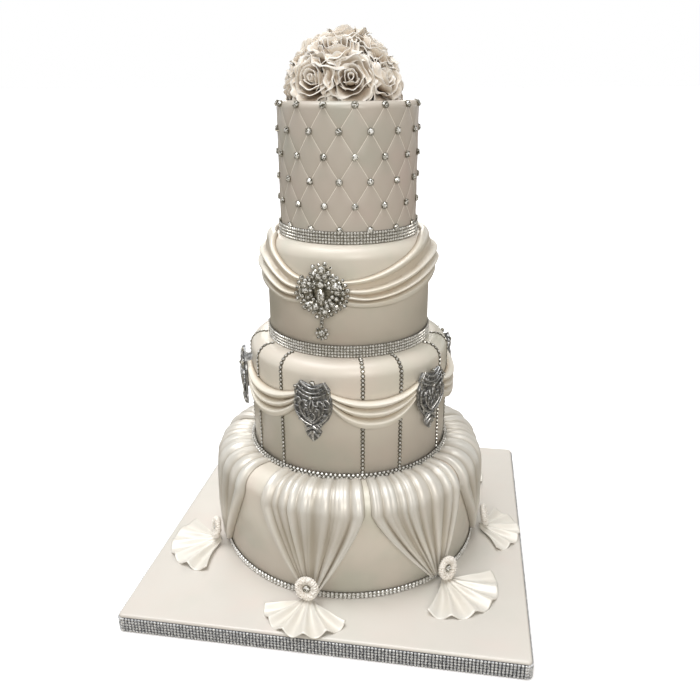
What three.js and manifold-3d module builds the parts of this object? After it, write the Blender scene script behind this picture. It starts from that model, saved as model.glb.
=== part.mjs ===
// Tiered wedding cake on its iced square board.
// Four round tiers stand on the board, each dressed in its own way: draped panels gathered by
// rosettes at the bottom, swags hung between crests above, then a gathered sash with a brooch,
// and a heap of sugar roses on the top tier. Millimetres, +Z up, board sides along X and Y.

import * as THREE from 'three';
import ManifoldModule from 'manifold-3d';

// ---------------------------------------------------------------- driving sizes (mm, degrees)

const FIT = 0.3; // clearance left between pieces that touch
const CLOTH_FIT = 0.5; // clearance under icing that is laid over a round tier

const BOARD = { side: 457, thickness: 22.5, corner: 5, rim: 3 };
const BAND = { thickness: 1.6, bottom: 0.4, height: 19 };

const TIER_1 = { radius: 161.3, bottom: 22.8, top: 156.7, edge: 24, edgeSteps: 3, sides: 30 };
const TIER_2 = { radius: 119.9, bottom: 157.0, top: 294.0, edge: 16, edgeSteps: 2, sides: 30 };
const TIER_3 = { radius: 95.2, bottom: 294.3, top: 416.2, edge: 14, edgeSteps: 2, sides: 28 };
const TIER_4 = { radius: 78.0, bottom: 416.5, top: 560.0, edge: 4, edgeSteps: 1, sides: 28 };

const RIBBON = { thickness: 2.0, twoRows: 7.2, fourRows: 13.6 };
const BEAD = { thickness: 4.8, height: 5.2 };

// Draped panels of tier 1: azimuths of the gather and of the two edges at the tier's top rim.
const PANELS = [
  { gather: -153, from: -181, to: -129.5, reach: 69 },
  { gather: -96.5, from: -118, to: -74.8, reach: 62 },
  { gather: -41, from: -72.2, to: -29.6, reach: 70 },
  { gather: 0, from: -27.6, to: 23, reach: 57.6 },
  { gather: 47, from: 25, to: 70, reach: 66 },
  { gather: 96.5, from: 73, to: 121, reach: 62 },
  { gather: 149, from: 124, to: 176, reach: 68 },
];
const DRAPE = {
  start: 126.2, // radius at which the pleats come out from under the bead trim
  end: 31.5, // height of the gathered end
  pleats: 4,
  ripple: 2.6,
  neck: 0.17, // width left at the gather, as a share of the width at the rim
  bow: 0.85, // how much the edges bow outward on the way down
  thin: 5,
  full: 12,
  fill: 1.8, // how soon it is at its fullest
  lift: 1.9, // how far the panel hangs clear of the tier's side
  cinch: 0.66, // fullness left where the rosette pulls the panel together
};
const ROSETTE = { radius: 13.5, depth: 9, out: 175.4, height: 44.5, tilt: 12, petals: 5 };
const FAN = {
  centre: 170, inner: 8, sideShare: 0.92, spread: 60, pleats: 5,
  thickness: 2.6, ripple: 3.2, rise: 1.6, swell: 1.8,
};

// Swags and crests of tier 2.
const CREST_AZIMUTHS = [-161, -98.5, -35, 30, 89, 144];
const CREST = { width: 42, height: 72, bottom: 206, thickness: 7.5, out: 127.2, boss: [12, 30] };
const SWAG = {
  hang: 268, hangDepth: 21, low: 253, lowDepth: 33, rolls: 3, steps: 5,
  depth: 8.5, root: 4.4, lift: 1.1, clear: 3.2,
};

// Sash of tier 3, gathered under the brooch.
const SASH = {
  gather: -96, rolls: 3, depth: 9, root: 6.0, lift: 4.5,
  gatherTop: 381, gatherLow: 357, fullLow: 367, overRim: 1.4,
  dip: 9, // how far the lowest fold sags on its way out of the gather
};
// How the top fold climbs to the rim: over how many degrees, and how late.
const CLIMB = { back: { over: 60, late: 1.8 }, on: { over: 92, late: 1.45 } };
const BROOCH = { width: 54, height: 58, middle: 371, thickness: 7, lobes: 10, stone: [9, 13, 5] };
const PENDANT = { top: 340.6, linkLength: 9, dropRadius: 6.2, dropLength: 17 };

// Sugar roses: direction of each flower from the middle of the heap, and how far out it sits.
const HEAP = { x: -4.9, y: -0.8, rise: 5, lowReach: 40.3, highReach: 41.6, steps: 4, sides: 16 };
const ROSE = { radius: 21.8, depth: 28, petals: 5, sides: 15 };
const ROSES = [
  { azimuth: -161.5, lift: 17, out: 40.9, size: 1.0 },
  { azimuth: -116.5, lift: 17, out: 40.9, size: 1.0 },
  { azimuth: -70.5, lift: 17, out: 40.9, size: 1.04 },
  { azimuth: -26, lift: 17, out: 40.9, size: 1.0 },
  { azimuth: 18.5, lift: 17, out: 40.9, size: 0.98 },
  { azimuth: 63.5, lift: 17, out: 40.9, size: 1.0 },
  { azimuth: 108.5, lift: 17, out: 40.9, size: 1.0 },
  { azimuth: 153.5, lift: 17, out: 40.9, size: 1.0 },
  { azimuth: -94.6, lift: 52, out: 42, size: 1.0 },
  { azimuth: -3.6, lift: 52, out: 42, size: 1.0 },
  { azimuth: 86.4, lift: 52, out: 42, size: 0.98 },
  { azimuth: 175.9, lift: 52, out: 42, size: 1.0 },
  { azimuth: 80, lift: 88, out: 46, size: 0.95 },
];

// ---------------------------------------------------------------- colours

const ICING = { color: 0xe9e3d8, roughness: 0.42, metalness: 0 };
const CLOTH_ICING = { color: 0xf1ece2, roughness: 0.34, metalness: 0 };
const ROSE_PASTE = { color: 0xece5da, roughness: 0.5, metalness: 0 };
const SILVER = { color: 0xa9aaad, roughness: 0.28, metalness: 0.9 };
const CREST_SILVER = { color: 0x85878c, roughness: 0.35, metalness: 0.9 };

// ---------------------------------------------------------------- helpers

const { Manifold, Mesh: ManifoldMesh } = await loadManifold();

async function loadManifold() {
  const wasm = await ManifoldModule();
  wasm.setup();
  return wasm;
}

const cake = new THREE.Group();
cake.name = 'tiered_wedding_cake';

const radians = THREE.MathUtils.degToRad;
const mix = THREE.MathUtils.lerp;
const smooth = (x) => THREE.MathUtils.smoothstep(x, 0, 1);

function add(name, geometry, finish) {
  const mesh = new THREE.Mesh(geometry, new THREE.MeshStandardMaterial(finish));
  mesh.name = name;
  cake.add(mesh);
  return mesh;
}

// Point at a radius, an azimuth in degrees and a height.
function polar(radius, azimuth, height) {
  const angle = radians(azimuth);
  return new THREE.Vector3(radius * Math.cos(angle), radius * Math.sin(angle), height);
}

// Closed body from points and triangles, turned so that its faces look outward.
function closedBody(points, triangles) {
  let volume = 0;
  for (let k = 0; k < triangles.length; k += 3) {
    const [a, b, c] = [points[triangles[k]], points[triangles[k + 1]], points[triangles[k + 2]]];
    volume += a.dot(new THREE.Vector3().crossVectors(b, c));
  }
  if (volume < 0) triangles.reverse();
  const geometry = new THREE.BufferGeometry().setFromPoints(points);
  geometry.setIndex(triangles);
  geometry.computeVertexNormals();
  return geometry;
}

// Closed sheet between two surfaces, front(u, v) and back(u, v), u and v from 0 to 1.
// A ring sheet runs all the way round in u.
function sheet(uSteps, vSteps, front, back, ring = false) {
  const columns = ring ? uSteps : uSteps + 1;
  const rows = vSteps + 1;
  const points = [];
  for (const surface of [front, back]) {
    for (let i = 0; i < columns; i += 1) {
      for (let j = 0; j < rows; j += 1) points.push(surface(i / uSteps, j / vSteps));
    }
  }
  const layer = columns * rows;
  const at = (side, i, j) => side * layer + (i % columns) * rows + j;
  const triangles = [];
  const quad = (a, b, c, d) => triangles.push(a, b, c, a, c, d);
  for (let i = 0; i < uSteps; i += 1) {
    for (let j = 0; j < vSteps; j += 1) {
      quad(at(0, i, j), at(0, i + 1, j), at(0, i + 1, j + 1), at(0, i, j + 1));
      quad(at(1, i, j), at(1, i, j + 1), at(1, i + 1, j + 1), at(1, i + 1, j));
    }
    quad(at(0, i, 0), at(1, i, 0), at(1, i + 1, 0), at(0, i + 1, 0));
    quad(at(0, i, vSteps), at(0, i + 1, vSteps), at(1, i + 1, vSteps), at(1, i, vSteps));
  }
  if (!ring) {
    for (let j = 0; j < vSteps; j += 1) {
      quad(at(0, 0, j), at(0, 0, j + 1), at(1, 0, j + 1), at(1, 0, j));
      quad(at(0, uSteps, j), at(1, uSteps, j), at(1, uSteps, j + 1), at(0, uSteps, j + 1));
    }
  }
  return closedBody(points, triangles);
}

// Closed body of rings stacked between two end points; ring(k, angle) gives a point.
function stacked(sides, rings, ring, first, last) {
  const points = [first, last];
  for (let k = 0; k < rings; k += 1) {
    for (let i = 0; i < sides; i += 1) points.push(ring(k, (2 * Math.PI * i) / sides));
  }
  const at = (k, i) => 2 + k * sides + (i % sides);
  const triangles = [];
  for (let i = 0; i < sides; i += 1) {
    triangles.push(0, at(0, i + 1), at(0, i));
    triangles.push(1, at(rings - 1, i), at(rings - 1, i + 1));
    for (let k = 0; k + 1 < rings; k += 1) {
      triangles.push(at(k, i), at(k, i + 1), at(k + 1, i + 1));
      triangles.push(at(k, i), at(k + 1, i + 1), at(k + 1, i));
    }
  }
  return closedBody(points, triangles);
}

// Turned body about Z from a list of [radius, height].
function turned(profile, sides) {
  const geometry = new THREE.LatheGeometry(profile.map(([r, z]) => new THREE.Vector2(r, z)), sides);
  geometry.rotateX(Math.PI / 2);
  return geometry;
}

// Place on a tier's skin at a distance below the inner start of its rounded top edge
// (negative: inward over the flat top), with the outward direction there.
function skin(tier, distance) {
  const arc = (tier.edge * Math.PI) / 2;
  const inner = tier.radius - tier.edge;
  if (distance < 0) return { r: inner + distance, z: tier.top, outR: 0, outZ: 1 };
  if (distance > arc) {
    return { r: tier.radius, z: tier.top - tier.edge - (distance - arc), outR: 1, outZ: 0 };
  }
  const bend = distance / tier.edge;
  return {
    r: inner + tier.edge * Math.sin(bend),
    z: tier.top - tier.edge + tier.edge * Math.cos(bend),
    outR: Math.sin(bend),
    outZ: Math.cos(bend),
  };
}

// Point above a tier's skin.
function overSkin(tier, distance, azimuth, height) {
  const s = skin(tier, distance);
  return polar(s.r + s.outR * height, azimuth, s.z + s.outZ * height);
}

// Distance down the skin that reaches a given height on the straight side.
function skinDistanceAt(tier, z) {
  return (tier.edge * Math.PI) / 2 + (tier.top - tier.edge - z);
}

function toManifold(geometry) {
  const position = geometry.getAttribute('position');
  const mesh = new ManifoldMesh({
    numProp: 3,
    vertProperties: new Float32Array(position.array),
    triVerts: new Uint32Array(geometry.getIndex()?.array ?? Array(position.count).keys()),
  });
  mesh.merge();
  return new Manifold(mesh);
}

// Several closed bodies joined into one.
function joined(geometries) {
  const mesh = Manifold.union(geometries.map(toManifold)).getMesh();
  const geometry = new THREE.BufferGeometry();
  geometry.setAttribute('position', new THREE.BufferAttribute(mesh.vertProperties, 3));
  geometry.setIndex(new THREE.BufferAttribute(mesh.triVerts, 1));
  return geometry;
}

// ---------------------------------------------------------------- board

const CORNER_STEPS = 3; // points on each rounded corner
const OUTLINE_STEPS = 4 * CORNER_STEPS;

// Point k of a rounded square's outline, corner by corner.
function squarePoint(half, corner, k, height) {
  const side = Math.floor(k / CORNER_STEPS) % 4;
  const middle = radians(45 + 90 * side);
  const bend = middle + radians(45) * (k % CORNER_STEPS - 1);
  const out = (half - corner) * Math.SQRT2;
  return new THREE.Vector3(
    out * Math.cos(middle) + corner * Math.cos(bend),
    out * Math.sin(middle) + corner * Math.sin(bend),
    height,
  );
}

function boardBody() {
  const half = BOARD.side / 2 - BAND.thickness - FIT;
  const rings = [
    [0, 0],
    [0, BOARD.thickness - BOARD.rim],
    [0.3 * BOARD.rim, BOARD.thickness - 0.3 * BOARD.rim],
    [BOARD.rim, BOARD.thickness],
  ];
  return stacked(
    OUTLINE_STEPS,
    rings.length,
    (k, angle) => {
      const point = Math.round((angle * OUTLINE_STEPS) / (2 * Math.PI));
      return squarePoint(half - rings[k][0], BOARD.corner, point, rings[k][1]);
    },
    new THREE.Vector3(0, 0, 0),
    new THREE.Vector3(0, 0, BOARD.thickness),
  );
}

function boardBand() {
  const wall = (inset) => (u, v) => squarePoint(
    BOARD.side / 2 - inset,
    BOARD.corner + BAND.thickness - inset,
    Math.round(u * OUTLINE_STEPS),
    BAND.bottom + BAND.height * v,
  );
  return sheet(OUTLINE_STEPS, 1, wall(0), wall(BAND.thickness), true);
}

add('board', boardBody(), ICING);
add('board_band', boardBand(), SILVER);

// ---------------------------------------------------------------- tiers and their base trims

function tierBody(tier) {
  const profile = [[0, tier.bottom], [tier.radius, tier.bottom]];
  for (let k = tier.edgeSteps; k >= 0; k -= 1) {
    const place = skin(tier, (tier.edge * Math.PI * k) / (2 * tier.edgeSteps));
    profile.push([place.r, place.z]);
  }
  profile.push([0, tier.top]);
  return turned(profile, tier.sides);
}

// Band of square section laid round the foot of a tier.
function footBand(tier, thickness, height) {
  const inner = tier.radius + FIT;
  const outer = inner + thickness;
  const bottom = tier.bottom;
  const top = bottom + height;
  const profile = [[inner, bottom], [outer, bottom], [outer, top], [inner, top], [inner, bottom]];
  return turned(profile, tier.sides);
}

add('tier_1', tierBody(TIER_1), ICING);
add('tier_2', tierBody(TIER_2), ICING);
add('tier_3', tierBody(TIER_3), ICING);
add('tier_4', tierBody(TIER_4), ICING);
add('ribbon_1', footBand(TIER_1, RIBBON.thickness, RIBBON.twoRows), SILVER);
add('bead_trim_2', footBand(TIER_2, BEAD.thickness, BEAD.height), SILVER);
add('ribbon_3', footBand(TIER_3, RIBBON.thickness, RIBBON.fourRows), SILVER);
add('ribbon_4', footBand(TIER_4, RIBBON.thickness, RIBBON.fourRows), SILVER);

// ---------------------------------------------------------------- draped panels of tier 1

const drapeStops = [
  DRAPE.start - (TIER_1.radius - TIER_1.edge),
  0,
  (TIER_1.edge * Math.PI) / 6,
  (TIER_1.edge * Math.PI) / 3,
  (TIER_1.edge * Math.PI) / 2,
  skinDistanceAt(TIER_1, mix(TIER_1.top - TIER_1.edge, DRAPE.end, 0.55)),
  skinDistanceAt(TIER_1, DRAPE.end),
];

function drapedPanel(panel) {
  const rows = drapeStops.length - 1;
  const last = drapeStops[rows];
  const rim = drapeStops[4];
  const place = (u, v, height) => {
    const distance = drapeStops[Math.round(v * rows)];
    const drop = Math.max(0, (distance - rim) / (last - rim));
    const narrow = mix(1, DRAPE.neck, drop ** (1 / DRAPE.bow));
    const edge = mix(panel.from, panel.to, u);
    const azimuth = panel.gather + (edge - panel.gather) * narrow;
    return overSkin(TIER_1, distance, azimuth, height);
  };
  const outer = (u, v) => {
    const ridge = DRAPE.ripple * Math.cos(2 * Math.PI * DRAPE.pleats * u);
    const full = mix(DRAPE.thin, DRAPE.full, smooth(v * DRAPE.fill));
    return place(u, v, (full - ridge) * (v === 1 ? DRAPE.cinch : 1));
  };
  const inner = (u, v) => place(u, v, mix(CLOTH_FIT, DRAPE.lift, smooth(v * DRAPE.fill)));
  return sheet(2 * DRAPE.pleats, rows, outer, inner);
}

// Ruffled button that holds each gather, with a raised middle.
function rosette(panel) {
  const { radius, depth, petals } = ROSETTE;
  const rings = [[0.86, 0], [1, 0.45], [0.72, 0.85], [0.36, 1]];
  const geometry = stacked(
    2 * petals,
    rings.length,
    (k, angle) => {
      const wave = k < 2 ? 1 - 0.07 * (1 - Math.cos(petals * angle)) : 1;
      const r = radius * rings[k][0] * wave;
      return new THREE.Vector3(r * Math.cos(angle), r * Math.sin(angle), depth * rings[k][1]);
    },
    new THREE.Vector3(0, 0, 0),
    new THREE.Vector3(0, 0, depth * 1.12),
  );
  const mesh = add(`rosette_${PANELS.indexOf(panel) + 1}`, geometry, CLOTH_ICING);
  mesh.position.copy(polar(ROSETTE.out, panel.gather, ROSETTE.height));
  mesh.rotation.set(0, radians(90 - ROSETTE.tilt), radians(panel.gather), 'ZYX');
  return mesh;
}

// Pleated end of a panel, spread out on the board beyond its rosette.
function fan(panel) {
  const top = BOARD.thickness + FIT;
  const centre = polar(FAN.centre, panel.gather, 0);
  const place = (u, v, height) => {
    const side = mix(-1, 1, u);
    const reach = panel.reach * mix(1, FAN.sideShare, side * side);
    const out = polar(mix(FAN.inner, reach, v), panel.gather + FAN.spread * side, height);
    return out.add(centre);
  };
  const under = (u, v) => {
    const fold = 1 + Math.cos(2 * Math.PI * FAN.pleats * u);
    return place(u, v, top + FAN.rise * (1 - v) ** 2 + (FAN.ripple / 2) * fold * v);
  };
  const over = (u, v) => {
    const low = under(u, v);
    low.z += FAN.thickness + FAN.swell * (1 - v) ** 2;
    return low;
  };
  return sheet(2 * FAN.pleats, 2, over, under);
}

PANELS.forEach((panel, k) => {
  add(`drape_${k + 1}`, drapedPanel(panel), CLOTH_ICING);
  rosette(panel);
  add(`fan_${k + 1}`, fan(panel), CLOTH_ICING);
});

// ---------------------------------------------------------------- swags and crests of tier 2

// Rolled folds that hang between two crests.
function swag(from, to) {
  const start = from + SWAG.clear;
  const end = to - SWAG.clear;
  const place = (u, v, height) => {
    const sag = 1 - (2 * u - 1) ** 2;
    const top = mix(SWAG.hang, SWAG.low, sag);
    const depth = mix(SWAG.hangDepth, SWAG.lowDepth, sag);
    return overSkin(TIER_2, skinDistanceAt(TIER_2, top - depth * v), mix(start, end, u), height);
  };
  const outer = (u, v) => {
    const rolled = (1 - Math.cos(2 * Math.PI * SWAG.rolls * v)) / 2;
    return place(u, v, mix(SWAG.root, SWAG.depth, rolled) * mix(0.72, 1, Math.sin(Math.PI * u)));
  };
  const inner = (u, v) => place(u, v, SWAG.lift);
  return sheet(SWAG.steps, 2 * SWAG.rolls, outer, inner);
}

// Outline of a crest: a pointed shield with a crown and scrolled shoulders.
function crestOutline() {
  const half = CREST.width / 2;
  const tall = CREST.height;
  const right = [
    [0, 0], [0.2, 0.05], [0.34, 0.14], [0.3, 0.22], [0.66, 0.34], [0.93, 0.5],
    [1, 0.66], [0.86, 0.74], [0.95, 0.86], [0.62, 0.91], [0.3, 0.9], [0.22, 1], [0, 0.97],
  ];
  const left = right.slice(1, -1).reverse().map(([x, y]) => [-x, y]);
  return [...right, ...left].map(([x, y]) => new THREE.Vector2(x * half, y * tall));
}

function plate(outline, thickness) {
  return new THREE.ExtrudeGeometry(new THREE.Shape(outline), {
    depth: thickness,
    bevelEnabled: false,
  });
}

// Stands a flat piece, drawn in its own X and Y, upright and facing outward.
function faceOut(mesh, radius, azimuth, height) {
  mesh.position.copy(polar(radius, azimuth, height));
  mesh.rotation.set(Math.PI / 2, 0, radians(azimuth + 90), 'ZYX');
}

function crest(azimuth, name) {
  const back = CREST.out - TIER_2.radius - FIT;
  const boss = new THREE.BoxGeometry(CREST.boss[0], CREST.boss[1], back + 1);
  boss.translate(0, CREST.height * 0.6, (1 - back) / 2);
  const geometry = joined([plate(crestOutline(), CREST.thickness), boss]);
  faceOut(add(name, geometry, CREST_SILVER), CREST.out, azimuth, CREST.bottom);
}

CREST_AZIMUTHS.forEach((azimuth, k) => {
  const next = CREST_AZIMUTHS[(k + 1) % CREST_AZIMUTHS.length];
  add(`swag_${k + 1}`, swag(azimuth, next < azimuth ? next + 360 : next), CLOTH_ICING);
  crest(azimuth, `crest_${k + 1}`);
});

// ---------------------------------------------------------------- sash and brooch of tier 3

// One band of soft folds right round the tier: narrow under the brooch, then fanning up until
// its top fold lies over the tier's rim.
function sash() {
  const place = (u, v, height) => {
    const azimuth = mix(-270, 90, u);
    const turn = azimuth - SASH.gather;
    const climb = turn < 0 ? CLIMB.back : CLIMB.on;
    const opened = smooth(Math.abs(turn) / climb.over) ** climb.late;
    const sagged = SASH.dip * Math.sin(Math.PI * Math.min(1, Math.abs(turn) / CLIMB.on.over));
    const top = mix(skinDistanceAt(TIER_3, SASH.gatherTop), SASH.overRim, opened);
    const low = mix(SASH.gatherLow, SASH.fullLow, opened) - sagged;
    return overSkin(TIER_3, mix(top, skinDistanceAt(TIER_3, low), v), azimuth, height);
  };
  const outer = (u, v) => {
    const rolled = (1 - Math.cos(2 * Math.PI * SASH.rolls * v)) / 2;
    return place(u, v, mix(SASH.root, SASH.depth, rolled));
  };
  const inner = (u, v) => place(u, v, SASH.lift);
  return sheet(TIER_3.sides, 2 * SASH.rolls, outer, inner, true);
}

function brooch() {
  const points = [];
  const steps = 2 * BROOCH.lobes;
  for (let k = 0; k < steps; k += 1) {
    const angle = (2 * Math.PI * k) / steps + Math.PI / 2;
    const lobe = k % 2 ? 0.86 : 1;
    points.push(new THREE.Vector2(
      (BROOCH.width / 2) * lobe * Math.cos(angle),
      (BROOCH.height / 2) * lobe * Math.sin(angle),
    ));
  }
  const stone = new THREE.SphereGeometry(1, 8, 5);
  stone.scale(...BROOCH.stone);
  stone.translate(0, 2, BROOCH.thickness);
  return joined([plate(points, BROOCH.thickness), stone]);
}

function pendant() {
  const link = new THREE.CapsuleGeometry(1.6, PENDANT.linkLength, 1, 6);
  link.translate(0, -PENDANT.linkLength / 2 - 1.6, 0);
  const drop = new THREE.SphereGeometry(1, 8, 5);
  drop.scale(PENDANT.dropRadius, PENDANT.dropLength / 2, 3);
  drop.translate(0, -PENDANT.linkLength - PENDANT.dropLength / 2, 0);
  return joined([link, drop]);
}

const broochOut = TIER_3.radius + SASH.depth + FIT;
add('sash', sash(), CLOTH_ICING);
faceOut(add('brooch', brooch(), SILVER), broochOut, SASH.gather, BROOCH.middle);
faceOut(add('pendant', pendant(), SILVER), TIER_3.radius + 3.4, SASH.gather - 1.6, PENDANT.top);

// ---------------------------------------------------------------- roses on the top

const heapCentre = new THREE.Vector3(HEAP.x, HEAP.y, TIER_4.top + HEAP.rise);

// Mound of paste that carries the roses, a little taller than it is wide.
function dome() {
  const foot = TIER_4.top + FIT;
  const profile = [[0, foot], [HEAP.lowReach, foot]];
  for (let k = 0; k <= HEAP.steps; k += 1) {
    const share = k / HEAP.steps;
    const reach = mix(HEAP.lowReach, HEAP.highReach, share);
    const lift = (share * Math.PI) / 2;
    const radius = k < HEAP.steps ? reach * Math.cos(lift) : 0;
    profile.push([radius, heapCentre.z + reach * Math.sin(lift)]);
  }
  return turned(profile, HEAP.sides).translate(HEAP.x, HEAP.y, 0);
}

// Open rose: a cup of outer petals, a smaller whorl inside it and a bud.
function rose(size) {
  const rings = [
    { r: 0.28, h: 0.06, wave: 0 },
    { r: 0.74, h: 0.36, wave: 0.05 },
    { r: 1.0, h: 0.66, wave: 0.1 },
    { r: 0.6, h: 0.72, wave: 0.03 },
    { r: 0.46, h: 0.96, wave: -0.06 },
  ];
  const { radius, depth, petals, sides } = ROSE;
  return stacked(
    sides,
    rings.length,
    (k, angle) => {
      const { r, h, wave } = rings[k];
      const around = size * radius * r * (1 - Math.abs(wave) + wave * Math.cos(petals * angle));
      const up = size * depth * (h + 0.4 * wave * Math.cos(petals * angle));
      return new THREE.Vector3(around * Math.cos(angle), around * Math.sin(angle), up);
    },
    new THREE.Vector3(0, 0, 0),
    new THREE.Vector3(0, 0, size * depth * 0.9),
  );
}

add('rose_dome', dome(), ROSE_PASTE);
ROSES.forEach(({ azimuth, lift, out, size }, k) => {
  const direction = polar(Math.cos(radians(lift)), azimuth, Math.sin(radians(lift)));
  const mesh = add(`rose_${k + 1}`, rose(size), ROSE_PASTE);
  mesh.position.copy(direction).multiplyScalar(out).add(heapCentre);
  mesh.rotation.set(0, radians(90 - lift), radians(azimuth), 'ZYX');
});

export default cake;
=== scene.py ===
# %% [markdown]
# # A tiered wedding cake
# Four round tiers of ivory sugar paste stand on a square iced board. Each tier is dressed in its
# own way, and a heap of sugar roses closes the top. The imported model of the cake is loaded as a
# fixed frame. Every piece below is built in that frame, so a rose or a swag goes where its
# plain solid stands. Sizes are written in millimetres, as a sugar artist would, and turned into
# metres at the last moment.

# %% Load the frame
import bpy, bmesh, random
from math import atan2, cos, degrees, exp, pi, radians, sin
from mathutils import Vector, Matrix, noise


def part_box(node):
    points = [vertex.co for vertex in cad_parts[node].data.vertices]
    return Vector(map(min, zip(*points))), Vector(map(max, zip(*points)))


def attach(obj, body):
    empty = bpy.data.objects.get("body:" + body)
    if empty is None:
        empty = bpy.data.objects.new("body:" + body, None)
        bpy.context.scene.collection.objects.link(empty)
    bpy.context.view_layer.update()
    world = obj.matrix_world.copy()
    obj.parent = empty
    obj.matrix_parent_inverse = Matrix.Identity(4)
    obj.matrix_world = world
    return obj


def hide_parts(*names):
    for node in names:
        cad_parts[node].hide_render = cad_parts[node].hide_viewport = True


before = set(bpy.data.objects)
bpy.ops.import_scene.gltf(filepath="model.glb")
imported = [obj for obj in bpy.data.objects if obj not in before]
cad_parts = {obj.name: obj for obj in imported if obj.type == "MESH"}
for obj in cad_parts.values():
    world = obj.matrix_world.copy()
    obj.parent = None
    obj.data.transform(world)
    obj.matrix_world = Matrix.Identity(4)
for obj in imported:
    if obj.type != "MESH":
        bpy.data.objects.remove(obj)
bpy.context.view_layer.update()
scene = bpy.context.scene
MM = 0.001

# %% [markdown]
# ## Ways to say where things are
# Nearly everything on a round cake is told by an azimuth, a radius and a height. A tier's skin
# runs flat over the top, bends over the rounded edge and drops straight down, so a point of a
# drape or of a strip of stones is told by how far along that skin it lies and how far it
# stands off it. Two short helpers write a shift in millimetres and a turn in degrees.

# %% Polar points and a tier's skin
def mix(a, b, share):
    return a + (b - a) * share


def smooth(x):
    x = min(1.0, max(0.0, x))
    return x * x * (3 - 2 * x)


def polar(radius, azimuth, z):
    angle = radians(azimuth)
    return Vector((radius * cos(angle), radius * sin(angle), z)) * MM


def box_mm(node):
    low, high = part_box(node)
    return [v / MM for v in low], [v / MM for v in high]


def node_middle(node):
    """Average of a node's corners, in millimetres."""
    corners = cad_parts[node].data.vertices
    return sum((v.co for v in corners), Vector()) / len(corners) / MM


def azimuth_of(point):
    return degrees(atan2(point.y, point.x))


def moved(x, y, z):
    return Matrix.Translation((x * MM, y * MM, z * MM))


def turned(angle, axis="Z"):
    return Matrix.Rotation(radians(angle), 4, axis)


class Tier:
    def __init__(self, node, edge):
        low, high = box_mm(node)
        self.node, self.edge = node, edge
        self.radius, self.bottom, self.top = high[1], low[2], high[2]

    def skin(self, distance):
        """Radius, height, outward and upward lean of the skin, past the start of the rounded edge."""
        inner, arc = self.radius - self.edge, self.edge * pi / 2
        if distance < 0:
            return inner + distance, self.top, 0.0, 1.0
        if distance > arc:
            return self.radius, self.top - self.edge - (distance - arc), 1.0, 0.0
        bend = distance / self.edge
        return (inner + self.edge * sin(bend), self.top - self.edge + self.edge * cos(bend),
                sin(bend), cos(bend))

    def over(self, distance, azimuth, height):
        """A point that stands off the skin by this height."""
        r, z, out, up = self.skin(distance)
        return polar(r + out * height, azimuth, z + up * height)

    def reaches(self, z):
        """The distance along the skin at which the upright side reaches a height."""
        return self.edge * pi / 2 + self.top - self.edge - z


tiers = [Tier("tier_1", 24), Tier("tier_2", 16), Tier("tier_3", 14), Tier("tier_4", 7)]
for tier in tiers:
    print(tier.node, "radius", round(tier.radius, 1), "from", round(tier.bottom, 1), "to", round(tier.top, 1))

# %% [markdown]
# ## Finished pieces
# A finished piece sits at the origin with its place in its mesh. It rides on the cake's one
# body, stands for its plain solid and says which finish it takes. One function does this for
# all of them, and two more add what faceted pieces and modelled sheets need.

# %% Hand a piece over
tally = {"pieces": 0, "triangles": 0}


def mesh_of(bm, name):
    mesh = bpy.data.meshes.new(name)
    bm.to_mesh(mesh)
    bm.free()
    return mesh


def finish_piece(bm, name, finishes, replaces=(), turn_out=True):
    if turn_out:
        bmesh.ops.recalc_face_normals(bm, faces=bm.faces)
    for face in bm.faces:
        face.smooth = True
    mesh = mesh_of(bm, name)
    piece = bpy.data.objects.new(name, mesh)
    scene.collection.objects.link(piece)
    for finish in finishes:
        mesh.materials.append(finish)
    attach(piece, "root")
    if replaces:
        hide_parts(*replaces)
    tally["pieces"] += 1
    tally["triangles"] += sum(len(p.vertices) - 2 for p in mesh.polygons)
    return piece


def give_thickness(piece, thickness, offset=-1.0):
    """A sheet grows a wall, inward (-1), both ways (0) or outward (1)."""
    wall = piece.modifiers.new("thickness", "SOLIDIFY")
    wall.thickness = thickness * MM
    wall.offset = offset


def faceted_piece(bm, name, finishes, replaces=(), turn_out=False, soft=None):
    """Cut stones and beads keep flat facets. One finish of the piece may stay soft."""
    piece = finish_piece(bm, name, finishes, replaces, turn_out)
    for face in piece.data.polygons:
        face.use_smooth = face.material_index == soft
    return piece


def modelled_piece(bm, name, finish, node, thickness, offset=-1.0):
    give_thickness(finish_piece(bm, name, [finish], [node]), thickness, offset)

# %% [markdown]
# ## Rolled sheets
# Sugar paste is rolled flat and then laid over something. The same is done here: an operator
# makes a flat grid, and each of its corners is carried to its place by a rule that takes how
# far across (u) and how far down (v) the sheet it lies. The rule may also say how far a corner
# stands out, and the finish reads that number to paint shade in the deep places.

# %% Lay a flat grid over a rule
def laid_sheet(columns, rows, place, ring=False, mark=None):
    """With a mark, the rule also gives a number, which each corner keeps under that name."""
    bm = bmesh.new()
    layer = bm.verts.layers.float.new(mark) if mark else None
    bmesh.ops.create_grid(bm, x_segments=columns, y_segments=rows, size=0.5)
    for corner in bm.verts:
        placed = place(corner.co.x + 0.5, corner.co.y + 0.5)
        if mark:
            placed, corner[layer] = placed
        corner.co = placed
    if ring:
        bmesh.ops.remove_doubles(bm, verts=bm.verts, dist=1e-6)
    return bm


def add_into(bm, part):
    """Moves a finished bmesh into another one."""
    mesh = mesh_of(part, "part")
    bm.from_mesh(mesh)
    bpy.data.meshes.remove(mesh)


def close_holes(bm):
    bmesh.ops.holes_fill(bm, edges=[e for e in bm.edges if e.is_boundary], sides=0)

# %% [markdown]
# ## Writing finishes
# A finish is a small network of nodes. To keep the recipes readable, one class wraps an output
# so that patterns add and multiply like numbers, and one method makes every other node.

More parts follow.
